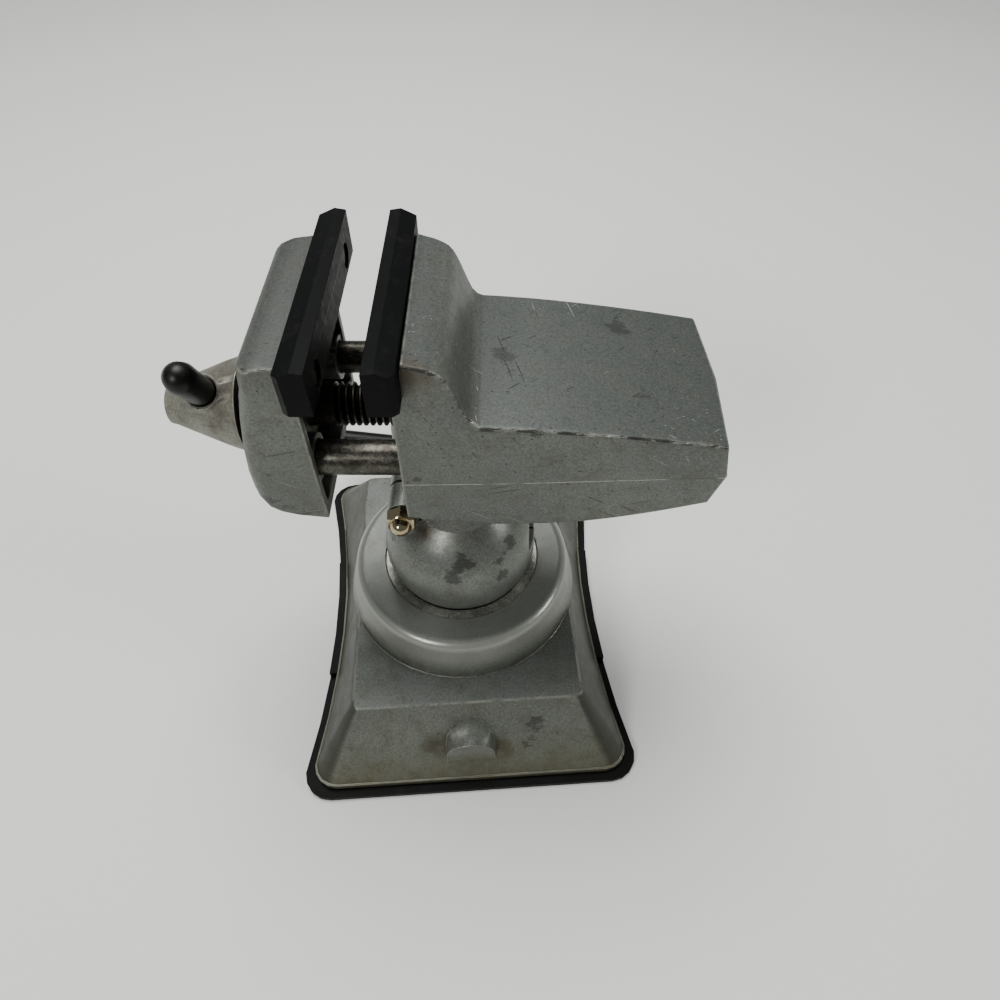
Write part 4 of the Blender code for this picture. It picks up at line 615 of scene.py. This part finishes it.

# Split ball: two halves die cast in the same grey, drawn together on the stem by the clamp. They
# are glossier than the other castings, with dark rub marks from the seat. Their grey is drawn
# lighter than the other castings', as painted light where the head shades them, and their level top
# lighter still, also painted light.
BALL_MARKS = (
    ((0.0019, -0.0214, 0.0738), 0.0052, 1.2), ((-0.0012, -0.0247, 0.0681), 0.0048, 1.2),
    ((0.0175, -0.0143, 0.0721), 0.0052, 1.1), ((0.0152, -0.0211, 0.0642), 0.0050, 1.1),
    ((0.0142, -0.0190, 0.0702), 0.0035, 0.9), ((-0.0114, -0.0200, 0.0715), 0.0040, 0.6))
BALL_STAINS = (((-0.0113, -0.0123, 0.0787), 0.0065, "#3E3222"),)
ball_metal = grey_casting(
    "ball_satin_grey_die_casting", "#70736D", "#60635D", "#454130", "#9A9A90", scratches=0.5,
    painted_top_tone="#B4B7B0", marks=BALL_MARKS, warm=BALL_STAINS, metal=0.45, roughness=0.31)
for node in ("ball_front_half", "ball_rear_half"):
    dress(node, "ball", ball_metal)

# Ball clamp: a steel stud through the lugs, with a bright plated cap nut in front, and a washer
# and a cast wing knob behind.
PLATE_FILM = 0.003
NUT_EDGE = 0.00018


def bright_plate():
    """Nickel-chrome plate, nearly a mirror, its colour darkened and warmed: a painted reflection of
    dark brown surroundings.
    """
    made, tree, shader = blank("warm_chrome_painted_reflection")
    place = add(tree, "ShaderNodeTexCoord").outputs["Object"]
    film = add(tree, "ShaderNodeTexNoise", {
        "Vector": place, "Scale": 1 / PLATE_FILM, "Detail": 4.0}).outputs["Fac"]
    patch = add(tree, "ShaderNodeMapRange", {"Value": film, "From Min": 0.52, "From Max": 0.72})
    tint = add(tree, "ShaderNodeMix", {
        0: patch.outputs[0], 6: colour("#A99C82"), 7: colour("#9A8460")}, data_type="RGBA")
    rough = add(tree, "ShaderNodeMapRange", {"Value": film, "To Min": 0.05, "To Max": 0.16})
    tree.links.new(tint.outputs[2], shader.inputs["Base Color"])
    tree.links.new(rough.outputs[0], shader.inputs["Roughness"])
    shader.inputs["Metallic"].default_value = 1.0
    return made


dress("cap_nut", "ball", bright_plate(), soften=NUT_EDGE)
dress("clamp_washer", "ball", dark_steel)
dress("clamp_stud", "clamp", dark_steel)
wing_metal = grey_casting(
    "wing_satin_grey_die_casting", "#6A6D68", "#585B56", "#454130", "#A0A096", scratches=0.4)
dress("clamp_knob", "clamp", wing_metal)

# Stem: a turned steel post, dark with oil. The ball's halves grip its foot, and a cross pin holds
# its top in the head.
for node in ("head_stem", "stem_pin"):
    dress(node, "head", dark_steel)

# Head casting: die cast in one with the fixed jaw, open below. Its deck is drawn a little darker
# and cooler than its sides, as painted shade. Work dragged over it has scratched the deck and
# scraped its edges.
HEAD_MARKS = (
    ((0.0152, -0.0006, 0.1403), 0.0050, 1.0), ((0.0470, 0.0165, 0.1371), 0.0070, 1.1),
    ((0.0520, -0.0110, 0.1364), 0.0060, 0.8), ((0.0230, -0.0275, 0.1385), 0.0035, 1.0),
    ((0.0125, 0.0040, 0.1405), 0.0090, 0.4), ((-0.0079, -0.0280, 0.1223), 0.0025, 1.1),
    ((-0.0026, -0.0280, 0.1415), 0.0030, 0.8), ((0.0370, -0.0275, 0.1375), 0.0060, 0.6))
HEAD_STAINS = (((-0.0082, -0.0281, 0.1575), 0.008, "#4A3D2F"),)
# Its scraped rolls carry a pale line and bright sparks, partly a painted highlight.
head_metal = grey_casting(
    "head_satin_grey_die_casting", "#62655F", "#585B56", "#46412F", "#999A90", scratches=0.85,
    grime=0.30, painted_top_tone="#494D4A", marks=HEAD_MARKS, warm=HEAD_STAINS, scrape_and_glint=0.85,
    seam=(0.1200, 0.026), edge=0.0010)
dress("head_body", "head", head_metal, even=True)

# Drive nut: a turned bronze bush, pressed into the head's front wall for the lead screw to run
# in. Oil has browned it.
BRONZE_FILM = 0.003


def machined_bronze():
    """Dull turned bronze, browned by oil."""
    made, tree, shader = blank("dull_turned_bronze")
    place = add(tree, "ShaderNodeTexCoord").outputs["Object"]
    film = add(tree, "ShaderNodeTexNoise", {
        "Vector": place, "Scale": 1 / BRONZE_FILM, "Detail": 5.0}).outputs["Fac"]
    tint = add(tree, "ShaderNodeMix", {
        0: film, 6: colour("#7E6037"), 7: colour("#3D2D1B")}, data_type="RGBA")
    tree.links.new(tint.outputs[2], shader.inputs["Base Color"])
    shader.inputs["Metallic"].default_value = 1.0
    shader.inputs["Roughness"].default_value = 0.38
    return made


dress("drive_nut", "head", machined_bronze())

# Guide rods: two drawn steel rods, fixed in the moving jaw and sliding in the head. They are dark
# with oil, and brown where nothing wipes them.
rod_steel = oiled_steel("oiled_drawn_steel", "#5C5A52", "#3D3B35", "#33261A", roughness=0.20)
for node in ("guide_rod_front", "guide_rod_rear"):
    dress(node, "jaw", rod_steel)

# Lead screw: a steel bar with a cut thread that runs in the bronze nut, and a plain journal in
# the moving jaw. Old grease blackens its roots; its crests are worn bright, and their grain is
# drawn coarser than a real one, so that it shows.
SCREW_HEIGHT = 0.1226
SCREW_CREST = 0.00635
SCREW_ROOT = 0.00525
SCREW_PITCH = 0.001954
SCREW_STEPS = 28
SCREW_SHARP = 30
SCREW_START = -0.0677
THREAD_START = -0.0330
THREAD_GRAIN = 0.0009
SCREW_END = 0.0440
JOURNAL_SIDES = 40
# The outline of one turn: shares of the pitch, with shares of the thread's depth.
THREAD_SHARES = ((0.0, 0.0), (0.30, 1.0), (0.48, 1.0), (0.78, 0.0), (1.0, 0.0))


def threaded_steel():
    """Cut steel thread: bright worn crests over black greasy roots."""
    made, tree, shader = blank("cut_thread_steel")
    place = add(tree, "ShaderNodeTexCoord").outputs["Object"]
    parts = add(tree, "ShaderNodeSeparateXYZ", {"Vector": place})
    rise = add(tree, "ShaderNodeMath", {
        0: parts.outputs["Z"], 1: SCREW_HEIGHT}, operation="SUBTRACT")
    flat = add(tree, "ShaderNodeCombineXYZ", {"Y": parts.outputs["Y"], "Z": rise.outputs[0]})
    radius = add(tree, "ShaderNodeVectorMath", {0: flat.outputs[0]}, operation="LENGTH")
    crest = add(tree, "ShaderNodeMapRange", {
        "Value": radius.outputs["Value"], "From Min": SCREW_ROOT, "From Max": SCREW_CREST})
    fine = add(tree, "ShaderNodeTexNoise", {
        "Vector": place, "Scale": 1 / THREAD_GRAIN, "Detail": 4.0}).outputs["Fac"]
    worn = add(tree, "ShaderNodeMath", {0: crest.outputs[0], 1: fine}, operation="MULTIPLY")
    worn = add(tree, "ShaderNodeMapRange", {
        "Value": worn.outputs[0], "From Min": 0.2, "From Max": 0.6}).outputs[0]
    tint = add(tree, "ShaderNodeMix", {
        0: worn, 6: colour("#0E0C08"), 7: colour("#5A574D")}, data_type="RGBA")
    rough = add(tree, "ShaderNodeMapRange", {"Value": worn, "To Min": 0.55, "To Max": 0.28})
    tree.links.new(tint.outputs[2], shader.inputs["Base Color"])
    tree.links.new(rough.outputs[0], shader.inputs["Roughness"])
    shader.inputs["Metallic"].default_value = 0.9
    return made


# The outline is spun past both ends of the thread, and then cut there and closed.
bm = bmesh.new()
depth = SCREW_CREST - SCREW_ROOT
first = THREAD_START - 1.5 * SCREW_PITCH
turns = math.ceil((SCREW_END - THREAD_START) / SCREW_PITCH) + 3
chain = [
    bm.verts.new((first + along * SCREW_PITCH, 0, SCREW_ROOT + depth * out))
    for along, out in THREAD_SHARES]
lines = [bm.edges.new(pair) for pair in zip(chain, chain[1:])]
bmesh.ops.spin(
    bm, geom=chain + lines, cent=(0, 0, 0), axis=(1, 0, 0),
    dvec=(SCREW_PITCH / SCREW_STEPS, 0, 0), angle=2 * math.pi * turns, steps=turns * SCREW_STEPS)
bmesh.ops.remove_doubles(bm, verts=bm.verts, dist=MERGE_REACH)
for cut, way in ((THREAD_START, -1), (SCREW_END, 1)):
    bmesh.ops.bisect_plane(
        bm, geom=list(bm.verts) + list(bm.edges) + list(bm.faces), plane_co=(cut, 0, 0),
        plane_no=(way, 0, 0), clear_outer=True)
bmesh.ops.holes_fill(bm, edges=list(bm.edges), sides=0)
journal = bmesh.ops.create_cone(
    bm, cap_ends=True, segments=JOURNAL_SIDES, radius1=SCREW_CREST, radius2=SCREW_CREST,
    depth=THREAD_START - SCREW_START)["verts"]
bmesh.ops.rotate(
    bm, verts=journal, cent=(0, 0, 0), matrix=Matrix.Rotation(math.pi / 2, 3, "Y"))
bmesh.ops.translate(bm, verts=journal, vec=((THREAD_START + SCREW_START) / 2, 0, 0))
bmesh.ops.translate(bm, verts=bm.verts, vec=(0, 0, SCREW_HEIGHT))
bmesh.ops.recalc_face_normals(bm, faces=bm.faces)
screw_mesh = bpy.data.meshes.new("lead_screw_thread")
bm.to_mesh(screw_mesh)
bm.free()
screw_mesh.shade_smooth()
screw_mesh.set_sharp_from_angle(angle=math.radians(SCREW_SHARP))
screw_mesh.materials.append(threaded_steel())
screw = bpy.data.objects.new("lead_screw_thread", screw_mesh)
bpy.context.scene.collection.objects.link(screw)
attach(screw, "screw")
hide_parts("lead_screw")

# Thrust washer, thrust collar and their pins: turned steel under oil. They hold the screw endwise
# in the moving jaw, and one pin fixes the crank's hub.
for node in ("thrust_washer", "thrust_collar", "collar_pin", "hub_pin"):
    dress(node, "screw", dark_steel)

# Moving jaw: a die-cast shell, open towards the head, with the same grey finish. Its near side is
# scuffed, and its corners are rubbed; the pale line and bright sparks on its scraped rolls are
# partly a painted highlight.
JAW_MARKS = (
    ((-0.0514, -0.0275, 0.1125), 0.0090, 0.7), ((-0.0460, -0.0275, 0.1251), 0.0060, 0.6),
    ((-0.0500, -0.0265, 0.1500), 0.0060, 0.9), ((-0.0420, -0.0275, 0.1080), 0.0070, 0.7))
# Its level tops are drawn darker than its sides: painted shade.
jaw_metal = grey_casting(
    "jaw_satin_grey_die_casting", "#60635D", "#545751", "#46412F", "#96978C", scratches=0.8,
    painted_top_tone="#424542", marks=JAW_MARKS, scrape_and_glint=0.7, edge=0.0010)
dress("moving_jaw", "jaw", jaw_metal, even=True)

# Jaw facings: tough black plastic, scuffed by the work, each held by two sunk screws and drawn
# tight to its casting.
FACE_GAP = 0.00028
FACE_EDGE = 0.00030
tough_black = black_moulding(
    "matte_black_jaw_facing", "#030404", "#131412", roughness=0.42, span=0.2, shine=0.08)
for node, body, back, reach in (
        ("jaw_pad_fixed", "head", -0.0093, FACE_GAP),
        ("jaw_pad_moving", "jaw", -0.0353, -FACE_GAP)):
    dress(node, body, tough_black, soften=FACE_EDGE, press=(back, reach))
    for end in ("front", "rear"):
        dress(node + "_screw_" + end, body, dark_steel)

# Crank: a bare zinc casting, a cone pinned on the screw's end, with a glossy black phenolic knob
# pressed into its side.
zinc = grey_casting(
    "bare_zinc_die_casting", "#7A796F", "#615F54", "#443E2C", "#A8A59A", scratches=0.6, grime=0.7)
dress("crank_hub", "screw", zinc)
dress("crank_knob", "screw", glossy_black)
